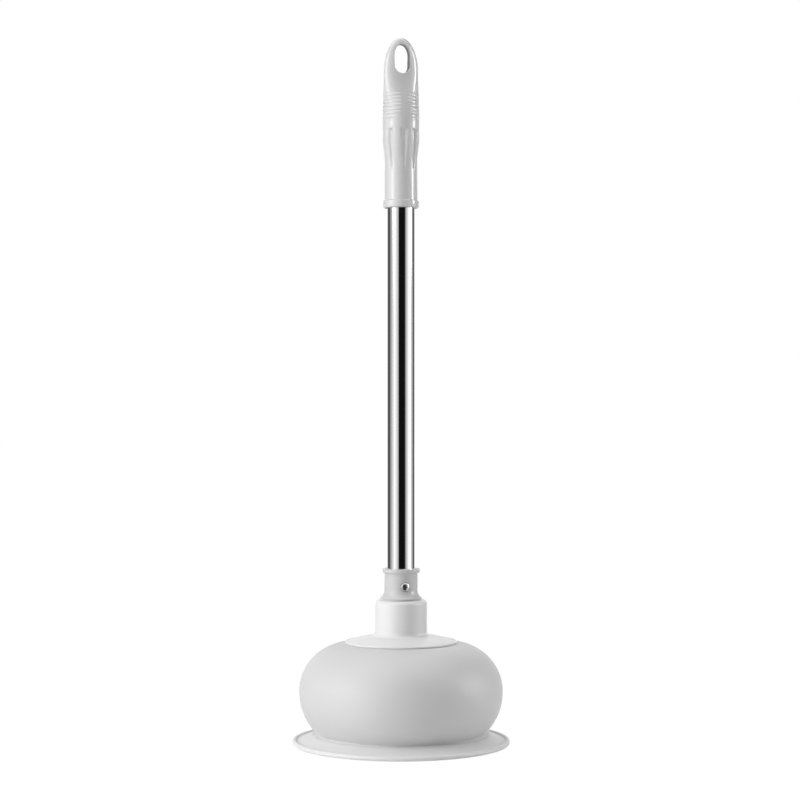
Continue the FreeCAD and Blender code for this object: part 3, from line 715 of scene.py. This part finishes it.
class PLUNGER_OT_neck(bpy.types.Operator):
    """Build the neck cap: disc, neck, threaded bore and spigot"""
    bl_idname = "plunger.neck"
    bl_label = "Neck cap"

    def execute(self, context):
        sizes = context.scene.plunger_neck
        thread = context.scene.plunger_thread
        base = BELL_TOP
        top = NECK_TOP
        spigot_low = NECK_BOX[0].z
        bore = thread.radius + thread.clearance
        bore_floor = top - sizes.bore_depth
        edge = sizes.disc_edge / 2
        foot = sizes.foot_round
        rise = base + sizes.dome_rise - sizes.foot_sink
        crown = sizes.top_round
        pilot = sizes.pilot_radius
        pilot_top = spigot_low + sizes.pilot_depth
        chamfer = sizes.mouth_chamfer
        outline = [(pilot, spigot_low), (sizes.spigot_radius - chamfer, spigot_low),
                   (sizes.spigot_radius, spigot_low + chamfer), (sizes.spigot_radius, base),
                   (sizes.disc_radius - edge / 2, base)]
        outline += arc((sizes.disc_radius - edge, base + edge), (edge, edge), -70, 78, 10)
        outline.append((outline[-1][0] - sizes.rim_groove, outline[-1][1] - sizes.rim_groove_depth))
        rim = outline[-1]
        outline += self.dome(rim, (sizes.neck_radius + foot, rise), sizes.dome_crown)
        outline += arc((sizes.neck_radius + foot, rise + foot), (foot, foot), 270, 180, 8)
        outline += line((sizes.neck_radius, outline[-1][1]), (sizes.neck_radius, top - crown), 6)[1:]
        outline += arc((sizes.neck_radius - crown, top - crown), (crown, crown), 0, 90, 8)
        outline += [(bore + chamfer, top), (bore, top - chamfer)]
        outline += line((bore, top - chamfer), (bore, bore_floor), 8)[1:]
        outline += [(bore, bore_floor), (0.0, bore_floor), (0.0, pilot_top), (pilot, pilot_top - 2 * chamfer)]
        cap = turned("screw_neck", outline)
        crest = thread.crest / 2
        section_middle = COLLAR_BASE - 4 * thread.pitch
        ridge_half = thread.pitch / 2 - crest - thread.clearance
        ridge_tip = thread.radius - thread.depth + thread.clearance
        root = bore + THREAD_ROOT
        section = [(root, section_middle - ridge_half),
                   (ridge_tip, section_middle - ridge_half + thread.flank),
                   (ridge_tip, section_middle + ridge_half - thread.flank),
                   (root, section_middle + ridge_half)]
        ridge = screw_thread("neck_thread", section, thread.pitch, 3)
        cap = finish_piece(join([cap, ridge]))
        finishes = context.scene.plunger_finishes
        dress(cap, white_material(finishes), "white_plastic", "head", "neck_cap")
        return {"FINISHED"}

    @staticmethod
    def dome(start, end, crown, steps=10):
        """Points over the disc from its rim to the neck's foot, lifted by crown at the middle."""
        points = []
        for index in range(1, steps + 1):
            share = index / steps
            lift = crown * 4 * share * (1 - share)
            points.append((start[0] + (end[0] - start[0]) * share,
                           start[1] + (end[1] - start[1]) * share + lift))
        return points


class PLUNGER_OT_gasket(bpy.types.Operator):
    """Build the thin gasket between the neck and the collar"""
    bl_idname = "plunger.gasket"
    bl_label = "Thread gasket"

    def execute(self, context):
        low = GASKET_BOX[0].z
        high = GASKET_BOX[1].z
        outer = GASKET_BOX[1].x
        inner = context.scene.plunger_thread.radius - 0.0008
        bulge = (high - low) / 2
        outline = [(inner, low), (outer - bulge, low)]
        outline += arc((outer - bulge, low + bulge), (bulge, bulge), -60, 60, 6)
        outline += [(outer - bulge, high), (inner, high)]
        ring = finish_piece(turned("neck_gasket", outline))
        finishes = context.scene.plunger_finishes
        dress(ring, gasket_material(finishes), "gasket_rubber", "gasket", "thread_gasket")
        return {"FINISHED"}


class PLUNGER_OT_collar(bpy.types.Operator):
    """Build the rod collar: threaded shank, flare, sleeve and rim"""
    bl_idname = "plunger.collar"
    bl_label = "Rod collar"

    FLARE_CORNER = 0.42  # share of the flare's height that its curve is drawn towards

    def execute(self, context):
        sizes = context.scene.plunger_collar
        thread = context.scene.plunger_thread
        low = COLLAR_BOX[0].z
        base = COLLAR_BASE
        top = COLLAR_TOP
        core = thread.radius - thread.depth
        bore_top = base - sizes.floor
        flare_low = base + sizes.foot_height
        flare_high = base + sizes.flare_rise
        rim_low = top - sizes.rim_height
        rim_radius = sizes.sleeve_radius + sizes.rim_width
        soft = sizes.edge_round
        socket = TUBE_RADIUS + TUBE_FIT
        tip = 0.0008
        outline = [(sizes.shank_bore, low), (core - tip, low), (core, low + tip)]
        outline += line((core, low + tip), (core, base), 8)[1:]
        outline += [(core, base), (sizes.flare_radius - 0.0003, base), (sizes.flare_radius, base + 0.0002),
                    (sizes.flare_radius, flare_low)]
        corner = (sizes.sleeve_radius + 0.0001, flare_low + (flare_high - flare_low) * self.FLARE_CORNER)
        flare_foot = (sizes.flare_radius, flare_low)
        outline += hollow_curve(flare_foot, corner, (sizes.sleeve_radius, flare_high), 10, 10)
        outline += line((sizes.sleeve_radius, flare_high), (sizes.sleeve_radius, rim_low - soft), 8)[1:]
        outline += arc((sizes.sleeve_radius + soft, rim_low - soft), (soft, soft), 180, 90, 4)
        outline += arc((rim_radius - soft, rim_low + soft), (soft, soft), -90, 0, 5)
        outline += arc((rim_radius - soft, top - soft), (soft, soft), 0, 90, 5)
        outline += [(socket + 0.0003, top), (socket, top - 0.0003), (socket, TUBE_BASE), (0.0, TUBE_BASE),
                    (0.0, bore_top), (sizes.shank_bore, bore_top)]
        collar = turned("rod_collar_moulding", outline)
        self.cut_screw_seat(collar, sizes)
        crest = thread.crest / 2
        middle = low + thread.pitch / 2
        root = core - THREAD_ROOT
        section = [(root, middle - crest - thread.flank), (thread.radius, middle - crest),
                   (thread.radius, middle + crest), (root, middle + crest + thread.flank)]
        ridge = screw_thread("collar_thread", section, thread.pitch, 2)
        collar = finish_piece(join([collar, ridge]))
        dress(collar, collar_material(context.scene.plunger_finishes), "grey_plastic", "rod", "rod_collar")
        return {"FINISHED"}

    @staticmethod
    def cut_screw_seat(collar, sizes):
        """A flat seat for the screw's head, and the hole for its shank."""
        seat_radius, seat = screw_seat(sizes)
        for radius, near, far in ((seat_radius, seat, sizes.sleeve_radius + 0.004),
                                  (sizes.pin_hole, 0.0, sizes.sleeve_radius)):
            deselect_all()
            bpy.ops.mesh.primitive_cylinder_add(vertices=48, radius=radius, depth=far - near,
                                                location=(0, -(near + far) / 2, SCREW_HEIGHT),
                                                rotation=(math.pi / 2, 0, 0))
            cut(collar, bpy.context.object)


class PLUNGER_OT_collar_screw(bpy.types.Operator):
    """Build the cross-head screw that pins the collar to the tube"""
    bl_idname = "plunger.collar_screw"
    bl_label = "Collar screw"

    def execute(self, context):
        sizes = context.scene.plunger_collar
        seat_radius, seat = screw_seat(sizes)
        shank_length = (SCREW_BOX[1].y - SCREW_BOX[0].y) - sizes.head_height
        radius = sizes.head_radius
        height = sizes.head_height
        shank = sizes.shank
        point = (shank, -shank_length + 0.0016)
        soft = 0.0002
        outline = [(0.0, -shank_length), (0.0004, -shank_length), point]
        outline += line(point, (shank, 0.0), 10)[1:]
        outline += [(shank, 0.0), (radius - soft, 0.0)]
        outline += arc((radius - soft, soft), (soft, soft), -90, 0, 2)[1:]
        outline += arc((0.0, 0.0005), (radius, height - 0.0005), 0, 90, 14)
        head = turned("collar_fastener", outline, steps=72, closed=False)
        self.cut_cross(head, height, radius)
        section = [(shank - 0.0001, -0.0062), (shank + 0.00035, -0.00585), (shank - 0.0001, -0.0055)]
        thread = screw_thread("collar_fastener_thread", section, 0.0011, 5, steps_per_turn=36)
        head = join([head, thread])
        work_on(head)
        place = Matrix.Translation((0, -seat, SCREW_HEIGHT))
        head.data.transform(place @ Matrix.Rotation(math.pi / 2, 4, "X"))
        finish_piece(head)
        dress(head, plating_material(context.scene.plunger_finishes), "screw_steel", "rod", "collar_screw")
        return {"FINISHED"}

    @staticmethod
    def cut_cross(head, height, radius):
        """The driver's cross, narrower towards its floor."""
        for turn in (0, math.pi / 2):
            deselect_all()
            bpy.ops.mesh.primitive_cone_add(vertices=4, radius1=CROSS_FLOOR * radius,
                                            radius2=CROSS_TOP * radius, depth=height,
                                            location=(0, 0, CROSS_MIDDLE * height),
                                            rotation=(0, 0, math.pi / 4))
            cutter = bpy.context.object
            bpy.ops.object.transform_apply(location=False, rotation=True, scale=False)
            stretch = Matrix.Rotation(turn, 4, "Z") @ Matrix.Diagonal(CROSS_STRETCH)
            cutter.data.transform(stretch)
            cut(head, cutter)


class PLUNGER_OT_tube(bpy.types.Operator):
    """Build the polished steel tube of the rod"""
    bl_idname = "plunger.tube"
    bl_label = "Rod tube"

    def execute(self, context):
        sizes = context.scene.plunger_tube
        outer = TUBE_RADIUS
        inner = outer - sizes.wall
        soft = sizes.end_round
        outline = [(inner, TUBE_BASE + soft), (inner + soft, TUBE_BASE), (outer - soft, TUBE_BASE)]
        outline += line((outer, TUBE_BASE + soft), (outer, TUBE_TOP - soft), 24)
        outline += [(outer, TUBE_TOP - soft), (outer - soft, TUBE_TOP), (inner + soft, TUBE_TOP),
                    (inner, TUBE_TOP - soft)]
        outline += line((inner, TUBE_TOP - soft), (inner, TUBE_BASE + soft), 24)[1:]
        tube = turned("steel_tube", outline, steps=192)
        deselect_all()
        pin_hole = context.scene.plunger_collar.pin_hole
        bpy.ops.mesh.primitive_cylinder_add(vertices=36, radius=pin_hole, depth=outer,
                                            location=(0, -outer, SCREW_HEIGHT), rotation=(math.pi / 2, 0, 0))
        cut(tube, bpy.context.object)
        finish_piece(tube)
        dress(tube, steel_material(context.scene.plunger_finishes), "tube_steel", "rod", "rod_tube")
        return {"FINISHED"}


class PLUNGER_OT_grip(bpy.types.Operator):
    """Build the grip: rim, waist, finger flutes, ribs and hang hole"""
    bl_idname = "plunger.grip"
    bl_label = "Handle grip"

    FLUTES = [math.radians(angle) for angle in (-50, -3, 35, 130, 177, 215)]
    FLUTE_HALF_WIDTH = math.radians(14.5)
    FLUTE_POINT = 0.2  # width of a flute's foot as a share of its top
    FLUTE_SPREAD = 0.8  # how evenly a flute widens upwards
    FLUTE_CREASE = 1.12  # 1 is a sharp crease down the middle
    FLUTE_END = 0.0012  # height of a flute's steep top end
    RIB_BLUNTNESS = 0.6
    RIB_LEVEL = 0.55  # share of a rib that lies under the grip's surface
    RIB_FADE = 1.5  # ribs over which the pattern fades at each end
    SMOOTH_FACE = 11  # degrees to each side of the front and back that stay smooth
    SMOOTH_EDGE = 2.5  # degrees over which a rib rises beside them

    def execute(self, context):
        sizes = context.scene.plunger_grip
        crest_start = (GRIP_TOP - GRIP_BASE) - sizes.crest_height
        grip = turned("ribbed_grip", self.outline(sizes, crest_start), closed=False)
        for vertex in grip.data.vertices:
            vertex.co = self.shaped(vertex.co, sizes, crest_start)
        cut(grip, self.hole_cutter(sizes, crest_start))
        grip.data.transform(Matrix.Translation((0, 0, GRIP_BASE)))
        finish_piece(grip)
        dress(grip, grip_material(context.scene.plunger_finishes), "grey_plastic", "rod", "handle_grip")
        # the faces of the hang hole's wall get a darker copy of the grip's plastic: painted shade
        grip.data.materials.append(hole_shade_material(context.scene.plunger_finishes))
        for face in grip.data.polygons:
            if self.in_hole(face, sizes):
                face.material_index = 1
        return {"FINISHED"}

    @staticmethod
    def in_hole(face, sizes):
        """Whether a face belongs to the straight wall inside the hang hole."""
        margin = 0.0001
        below_top = GRIP_TOP - face.center.z
        faces_in = abs(face.normal.y) < 0.3 and abs(face.center.x) < sizes.hole_half_width + margin
        return faces_in and below_top > sizes.hole_top_wall - margin

    @staticmethod
    def outline(sizes, crest_start):
        """The grip as if it were round all the way, with the tube's socket in it."""
        socket = TUBE_RADIUS + TUBE_FIT
        soft = sizes.edge_round
        rim = sizes.rim_radius
        neck = sizes.waist_radius + sizes.waist_taper
        hollow = sizes.rim_hollow
        inside = rim - sizes.rim_wall
        points = [(0.0, sizes.socket_depth), (socket, sizes.socket_depth)]
        points += line((socket, sizes.socket_depth), (socket, hollow), 12)[1:]
        points += [(socket, hollow), (inside, hollow), (inside + 0.0002, 0.0002), (inside + 0.0004, 0.0)]
        points += arc((rim - soft, soft), (soft, soft), -90, 0, 5)
        points += arc((rim - soft, sizes.rim_height - soft), (soft, soft), 0, 90, 5)
        points += arc((neck + soft, sizes.rim_height + soft), (soft, soft), 270, 180, 4)
        bottom = sizes.rim_height + soft
        count = 26
        for index in range(1, count):
            height = bottom + (sizes.swell_start - bottom) * index / count
            points.append((neck - sizes.waist_taper * smooth_step(index / count), height))
        swell = sizes.swell_radius - sizes.waist_radius
        span = sizes.swell_end - sizes.swell_start
        for index in range(21):
            share = index / 21
            points.append((sizes.waist_radius + swell * smooth_step(share), sizes.swell_start + span * share))
        height = sizes.swell_end
        rib_top = sizes.rib_start + sizes.rib_pitch * sizes.rib_count
        while height < crest_start - 0.0002:
            points.append((sizes.swell_radius, height))
            in_ribs = sizes.rib_start - 0.0012 < height < rib_top + 0.0006
            height += sizes.rib_pitch / 10 if in_ribs else 0.0007
        for point in arc((0.0, crest_start), (sizes.swell_radius, sizes.crest_height), 0, 90, 44):
            points.append(point)
        return points

    def shaped(self, place, sizes, crest_start):
        """Where a point of the round grip goes: the flat end, the flutes and the ribs."""
        radius = math.hypot(place.x, place.y)
        if radius < TUBE_RADIUS + 0.0005 and place.z < sizes.socket_depth + 0.0001:
            return place
        angle = math.atan2(place.x, -place.y)
        width, depth = self.flattened(place.z, sizes, crest_start)
        across = Vector((place.x * width, place.y * depth, 0))
        out = across.normalized() if across.length > 0 else Vector((0, 0, 0))
        offset = self.rib(place.z, angle, sizes) - self.flute(place.z, angle, sizes)
        return across + out * offset + Vector((0, 0, place.z))

    @staticmethod
    def flattened(height, sizes, crest_start):
        """The grip's width and depth at a height, as shares of the round swell's."""
        share = smooth_step((height - sizes.socket_depth) / (crest_start - sizes.socket_depth))
        return (1 + (sizes.loop_half_width / sizes.swell_radius - 1) * share,
                1 + (sizes.loop_half_depth / sizes.swell_radius - 1) * share)

    def rib(self, height, angle, sizes):
        """Rounded ribs with narrow grooves, fading out at both ends and over the smooth front and back."""
        turns = (height - sizes.rib_start) / sizes.rib_pitch
        if not 0 < turns < sizes.rib_count:
            return 0.0
        bead = abs(math.sin(math.pi * turns)) ** self.RIB_BLUNTNESS
        ends = smooth_step(turns / self.RIB_FADE) * smooth_step((sizes.rib_count - turns) / self.RIB_FADE)
        from_middle = math.acos(min(1.0, abs(math.cos(angle))))
        sides = smooth_step((math.degrees(from_middle) - self.SMOOTH_FACE) / self.SMOOTH_EDGE)
        return sizes.rib_height * (bead - self.RIB_LEVEL) * ends * sides

    def flute(self, height, angle, sizes):
        """The finger flutes: blunt at the top, running out to a point below."""
        if not sizes.flute_low < height < sizes.flute_high:
            return 0.0
        share = (height - sizes.flute_low) / (sizes.flute_high - sizes.flute_low)
        spread = self.FLUTE_POINT + (1 - self.FLUTE_POINT) * share ** self.FLUTE_SPREAD
        half_width = self.FLUTE_HALF_WIDTH * spread
        top = smooth_step((sizes.flute_high - height) / self.FLUTE_END)
        turns = [angle - flute for flute in self.FLUTES]
        nearest = min(abs(math.atan2(math.sin(turn), math.cos(turn))) for turn in turns)
        if nearest >= half_width:
            return 0.0
        return sizes.flute_depth * spread * top * (1 - (nearest / half_width) ** self.FLUTE_CREASE)

    def hole_cutter(self, sizes, crest_start):
        """The hang hole's shape, flared so that its edges come out round."""
        rim = self.hole_rim(sizes, crest_start)
        count = len(rim)
        outward = []
        for index in range(count):
            along = (Vector(rim[(index + 1) % count]) - Vector(rim[index - 1])).normalized()
            outward.append(Vector((along.y, -along.x)))
        soft = sizes.hole_round
        rings = []
        for turn in (math.radians(step * 12) for step in range(8)):
            spread = soft * (1 - math.cos(turn))
            ring = []
            for (across, up), out in zip(rim, outward):
                here = (across + out.x * spread, up + out.y * spread)
                surface = self.half_depth(here[0], here[1], sizes, crest_start)
                depth = surface - soft + soft * math.sin(turn) + 0.00002
                ring.append((here[0], max(0.0008, depth), here[1]))
            rings.append(ring)
        rings.append([(across + out.x * soft * 1.25, 0.010, up + out.y * soft * 1.25)
                      for (across, up), out in zip(rim, outward)])
        back = [[(x, -y, z) for x, y, z in ring] for ring in reversed(rings)]
        return self.lofted("hole_cutter", back + rings)

    @staticmethod
    def hole_rim(sizes, crest_start):
        """Points (across, up) round the hang hole: a round foot, straight sides and an arched top."""
        total = crest_start + sizes.crest_height
        half = sizes.hole_half_width
        low = total - sizes.hole_top_wall - sizes.hole_height + half
        high = total - sizes.hole_top_wall - sizes.hole_arch
        rim = arc((0.0, low), (half, half), 180, 360, 24)
        rim += line((half, low), (half, high), 8)[1:]
        rim += arc((0.0, high), (half, sizes.hole_arch), 0, 180, 28)
        return rim + line((-half, high), (-half, low), 8)[1:]

    def half_depth(self, across, up, sizes, crest_start):
        """From the grip's middle plane to its surface, at a place seen from the front."""
        crest = max(0.0, (up - crest_start) / sizes.crest_height)
        radius = sizes.swell_radius * math.sqrt(max(0.0, 1 - crest ** 2))
        width, depth = self.flattened(up, sizes, crest_start)
        if radius * width < abs(across) + MERGE_GAP:
            return 0.0
        return radius * depth * math.sqrt(1 - (across / (radius * width)) ** 2)

    @staticmethod
    def lofted(name, loops):
        """A closed piece through the loops, which all have the same number of points."""
        count = len(loops[0])
        deselect_all()
        bpy.ops.mesh.primitive_cylinder_add(vertices=count, radius=1, depth=1, location=(0, 0, 0.5))
        piece = bpy.context.object
        piece.name = name
        bpy.ops.object.transform_apply(location=True, rotation=False, scale=False)
        for part in (piece.data.polygons, piece.data.edges, piece.data.vertices):
            part.foreach_set("select", [False] * len(part))
        for vertex in piece.data.vertices:
            vertex.select = vertex.co.z > 0.5
        bpy.ops.object.mode_set(mode="EDIT")
        for _ in loops[2:]:
            bpy.ops.mesh.extrude_region_move(TRANSFORM_OT_translate={"value": (0, 0, 1)})
        bpy.ops.object.mode_set(mode="OBJECT")
        for vertex in piece.data.vertices:
            turn = math.atan2(vertex.co.x, vertex.co.y) / math.tau
            vertex.co = loops[round(vertex.co.z)][round(turn * count) % count]
        bpy.ops.object.mode_set(mode="EDIT")
        bpy.ops.mesh.select_all(action="SELECT")
        bpy.ops.mesh.normals_make_consistent(inside=False)
        bpy.ops.object.mode_set(mode="OBJECT")
        return piece


class PLUNGER_OT_hidden_parts(bpy.types.Operator):
    """Finish the clamp inside the cup and the plug inside the tube"""
    bl_idname = "plunger.hidden_parts"
    bl_label = "Clamp and plug"

    def execute(self, context):
        finishes = context.scene.plunger_finishes
        for node, make in (("clamp_plate", hidden_material), ("tube_plug", hidden_material),
                           ("clamp_washer", plating_material), ("clamp_screw", plating_material)):
            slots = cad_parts[node].material_slots
            for slot in slots:
                slot.material = make(finishes)
        return {"FINISHED"}


# ---------------------------------------------------------------- stage

PAPER_SHADE = 0.11  # how much of the piece's shadow the floor shows
PAPER_GLOW = 0.93  # the studio's white on the floor


class PLUNGER_OT_stage(bpy.types.Operator):
    """Set the floor, the studio lights and the camera"""
    bl_idname = "plunger.stage"
    bl_label = "Stage"

    def execute(self, context):
        sizes = context.scene.plunger_stage
        turn = sizes.azimuth
        self.right = Vector((math.cos(turn), math.sin(turn), 0))
        self.near = Vector((math.sin(turn), -math.cos(turn), 0))
        self.floor(context)
        self.studio_light(context, turn)
        self.camera(context, sizes)
        context.scene.view_settings.view_transform = "Standard"
        return {"FINISHED"}

    @staticmethod
    def floor(context):
        """A wide pale floor, level with the lip's underside, that runs out into the white studio."""
        deselect_all()
        bpy.ops.mesh.primitive_circle_add(vertices=96, radius=context.scene.plunger_stage.floor_radius,
                                          fill_type="NGON", location=(0, 0, -0.0002))
        floor = bpy.context.object
        floor.name = "studio_floor"
        material, tree, shader = new_material("Studio floor")
        shader.inputs["Roughness"].default_value = 0.8
        shader.inputs["Specular IOR Level"].default_value = 0.0
        path = tree.nodes.new("ShaderNodeLightPath")
        paper = tree.nodes.new("ShaderNodeMix")
        paper.data_type = "RGBA"
        paper.inputs["A"].default_value = (*context.scene.plunger_finishes.floor, 1)
        paper.inputs["B"].default_value = (*[PAPER_SHADE] * 3, 1)
        tree.links.new(path.outputs["Is Camera Ray"], paper.inputs["Factor"])
        tree.links.new(paper.outputs["Result"], shader.inputs["Base Color"])
        shader.inputs["Emission Color"].default_value = (1, 1, 1, 1)
        glow = ranged(tree, path.outputs["Is Camera Ray"], 0.0, PAPER_GLOW)
        tree.links.new(glow, shader.inputs["Emission Strength"])
        floor.data.materials.append(material)
        floor.visible_glossy = False

    def studio_light(self, context, turn):
        """A white studio: soft windows of light for the surfaces, and what the gloss mirrors."""
        world = bpy.data.worlds.new("Studio")
        context.scene.world = world
        world.use_nodes = True
        tree = world.node_tree
        links = tree.links
        background = tree.nodes["Background"]
        background.inputs["Color"].default_value = (1, 1, 1, 1)
        place = tree.nodes.new("ShaderNodeTexCoord")
        level = tree.nodes.new("ShaderNodeVectorRotate")
        level.rotation_type = "Z_AXIS"
        level.inputs["Angle"].default_value = -turn
        split = tree.nodes.new("ShaderNodeSeparateXYZ")
        links.new(place.outputs["Generated"], level.inputs["Vector"])
        links.new(level.outputs["Vector"], split.inputs["Vector"])
        toward = calculated(tree, "MULTIPLY", split.outputs["Y"], -1.0)
        around = calculated(tree, "ARCTAN2", split.outputs["X"], toward)
        azimuth = calculated(tree, "DEGREES", around)
        elevation = calculated(tree, "DEGREES", calculated(tree, "ARCSINE", split.outputs["Z"]))
        soft = calculated(tree, "ADD", self.window(tree, azimuth, elevation, self.LEFT_WINDOW),
                          self.window(tree, azimuth, elevation, self.RIGHT_WINDOW))
        soft = calculated(tree, "ADD", soft, faded(tree, elevation, 25.0, 80.0, self.CEILING))
        mirrored = self.profile(tree, azimuth, self.REFLECTIONS)
        for strip in (self.LEFT_STRIP, self.RIGHT_STRIP):
            mirrored = calculated(tree, "ADD", mirrored, self.strip(tree, azimuth, elevation, strip))
        mirrored = calculated(tree, "ADD", mirrored, faded(tree, elevation, 40.0, 75.0, self.CEILING_GLOW))
        path = tree.nodes.new("ShaderNodeLightPath")
        lit = mixed(tree, path.outputs["Is Glossy Ray"], soft, mirrored)
        links.new(mixed(tree, path.outputs["Is Camera Ray"], lit, 1.0), background.inputs["Strength"])

    # centre and half width in degrees from the camera's side, top in degrees above the floor, strength
    LEFT_WINDOW = (-65, 44, 82, 5.5)
    RIGHT_WINDOW = (112, 34, 50, 5.8)
    CEILING = 1.0
    # what a polished surface mirrors all round, in degrees from the camera's side towards its right
    REFLECTIONS = ((-180, 0.95), (-150, 0.85), (-139, 0.1), (-112, 0.06), (-98, 0.3), (-75, 0.7),
                   (-55, 1.2), (-38, 0.85), (-22, 0.5), (-18, 0.006), (32, 0.006), (37, 0.3), (56, 0.85),
                   (66, 1.15), (82, 1.3), (91, 1.0), (98, 0.62), (112, 0.34), (123, 0.07), (139, 0.07),
                   (149, 0.95), (180, 0.95))
    BRIGHTEST = 2.0
    # bright upright lamps, which only glossy surfaces show: centre, half width, low, high, strength
    LEFT_STRIP = (-62, 12, 3.0, 42.0, 3.0)
    RIGHT_STRIP = (88, 8, 3.0, 42.0, 9.0)
    CEILING_GLOW = 1.7

    @staticmethod
    def window(tree, azimuth, elevation, window):
        """A soft window of light, brightest at its middle and fading upwards."""
        centre, half_width, top, strength = window
        aside = calculated(tree, "ABSOLUTE", calculated(tree, "SUBTRACT", azimuth, float(centre)))
        across = faded(tree, aside, half_width, 0.0, strength)
        return calculated(tree, "MULTIPLY", across, faded(tree, elevation, top, 8.0, 1.0))

    @staticmethod
    def strip(tree, azimuth, elevation, strip):
        """A narrow upright light that starts above the floor."""
        centre, half_width, low, high, strength = strip
        aside = calculated(tree, "ABSOLUTE", calculated(tree, "SUBTRACT", azimuth, float(centre)))
        across = faded(tree, aside, half_width, half_width / 2, strength)
        upwards = calculated(tree, "MULTIPLY", faded(tree, elevation, low, low + 3.0, 1.0),
                             faded(tree, elevation, high, high - 20.0, 1.0))
        return calculated(tree, "MULTIPLY", across, upwards)

    def profile(self, tree, azimuth, stops):
        """A brightness that changes all round by the stops."""
        turn = tree.nodes.new("ShaderNodeMapRange")
        turn.inputs["From Min"].default_value = -180
        turn.inputs["From Max"].default_value = 180
        tree.links.new(azimuth, turn.inputs["Value"])
        ramp = tree.nodes.new("ShaderNodeValToRGB")
        elements = ramp.color_ramp.elements
        elements.remove(elements[1])
        for index, (degrees, brightness) in enumerate(stops):
            element = elements.new((degrees + 180) / 360) if index else elements[0]
            element.position = (degrees + 180) / 360
            element.color = (*[brightness / self.BRIGHTEST] * 3, 1)
        tree.links.new(turn.outputs["Result"], ramp.inputs["Fac"])
        return calculated(tree, "MULTIPLY", ramp.outputs["Color"], self.BRIGHTEST)

    def camera(self, context, sizes):
        data = bpy.data.cameras.new("camera")
        data.lens = sizes.lens
        data.sensor_width = 36.0
        data.clip_end = 50.0
        camera = bpy.data.objects.new("camera", data)
        context.scene.collection.objects.link(camera)
        place = self.near * sizes.distance - self.right * sizes.sideways
        camera.location = place + Vector((0, 0, sizes.height))
        camera.rotation_euler = (-self.near).to_track_quat("-Z", "Y").to_euler()
        context.scene.camera = camera


class PLUNGER_PT_panel(bpy.types.Panel):
    """Buttons for each piece of the plunger"""
    bl_idname = "PLUNGER_PT_panel"
    bl_label = "Toilet plunger"
    bl_space_type = "VIEW_3D"
    bl_region_type = "UI"
    bl_category = "Plunger"

    def draw(self, context):
        for operator in OPERATORS:
            self.layout.operator(operator.bl_idname)
        for name in SETTINGS:
            box = self.layout.box()
            settings = getattr(context.scene, name)
            box.label(text=name.replace("_", " "))
            for key in settings.bl_rna.properties.keys():
                if key not in ("rna_type", "name"):
                    box.prop(settings, key)


OPERATORS = [PLUNGER_OT_stage, PLUNGER_OT_cup, PLUNGER_OT_neck, PLUNGER_OT_gasket, PLUNGER_OT_collar,
             PLUNGER_OT_collar_screw, PLUNGER_OT_tube, PLUNGER_OT_grip, PLUNGER_OT_hidden_parts]
SETTINGS = {
    "plunger_cup": PlungerCupSizes,
    "plunger_neck": PlungerNeckSizes,
    "plunger_thread": PlungerThreadSizes,
    "plunger_collar": PlungerCollarSizes,
    "plunger_tube": PlungerTubeSizes,
    "plunger_grip": PlungerGripSizes,
    "plunger_finishes": PlungerFinishes,
    "plunger_stage": PlungerStageSizes,
}


def register():
    for name, group in SETTINGS.items():
        bpy.utils.register_class(group)
        setattr(bpy.types.Scene, name, PointerProperty(type=group))
    for item in [*OPERATORS, PLUNGER_PT_panel]:
        bpy.utils.register_class(item)


def unregister():
    for item in reversed([*OPERATORS, PLUNGER_PT_panel]):
        bpy.utils.unregister_class(item)
    for name, group in reversed(SETTINGS.items()):
        delattr(bpy.types.Scene, name)
        bpy.utils.unregister_class(group)


def main():
    register()
    bpy.ops.plunger.stage()
    bpy.ops.plunger.cup()
    bpy.ops.plunger.neck()
    bpy.ops.plunger.gasket()
    bpy.ops.plunger.collar()
    bpy.ops.plunger.collar_screw()
    bpy.ops.plunger.tube()
    bpy.ops.plunger.grip()
    bpy.ops.plunger.hidden_parts()


if __name__ == "__main__":
    main()
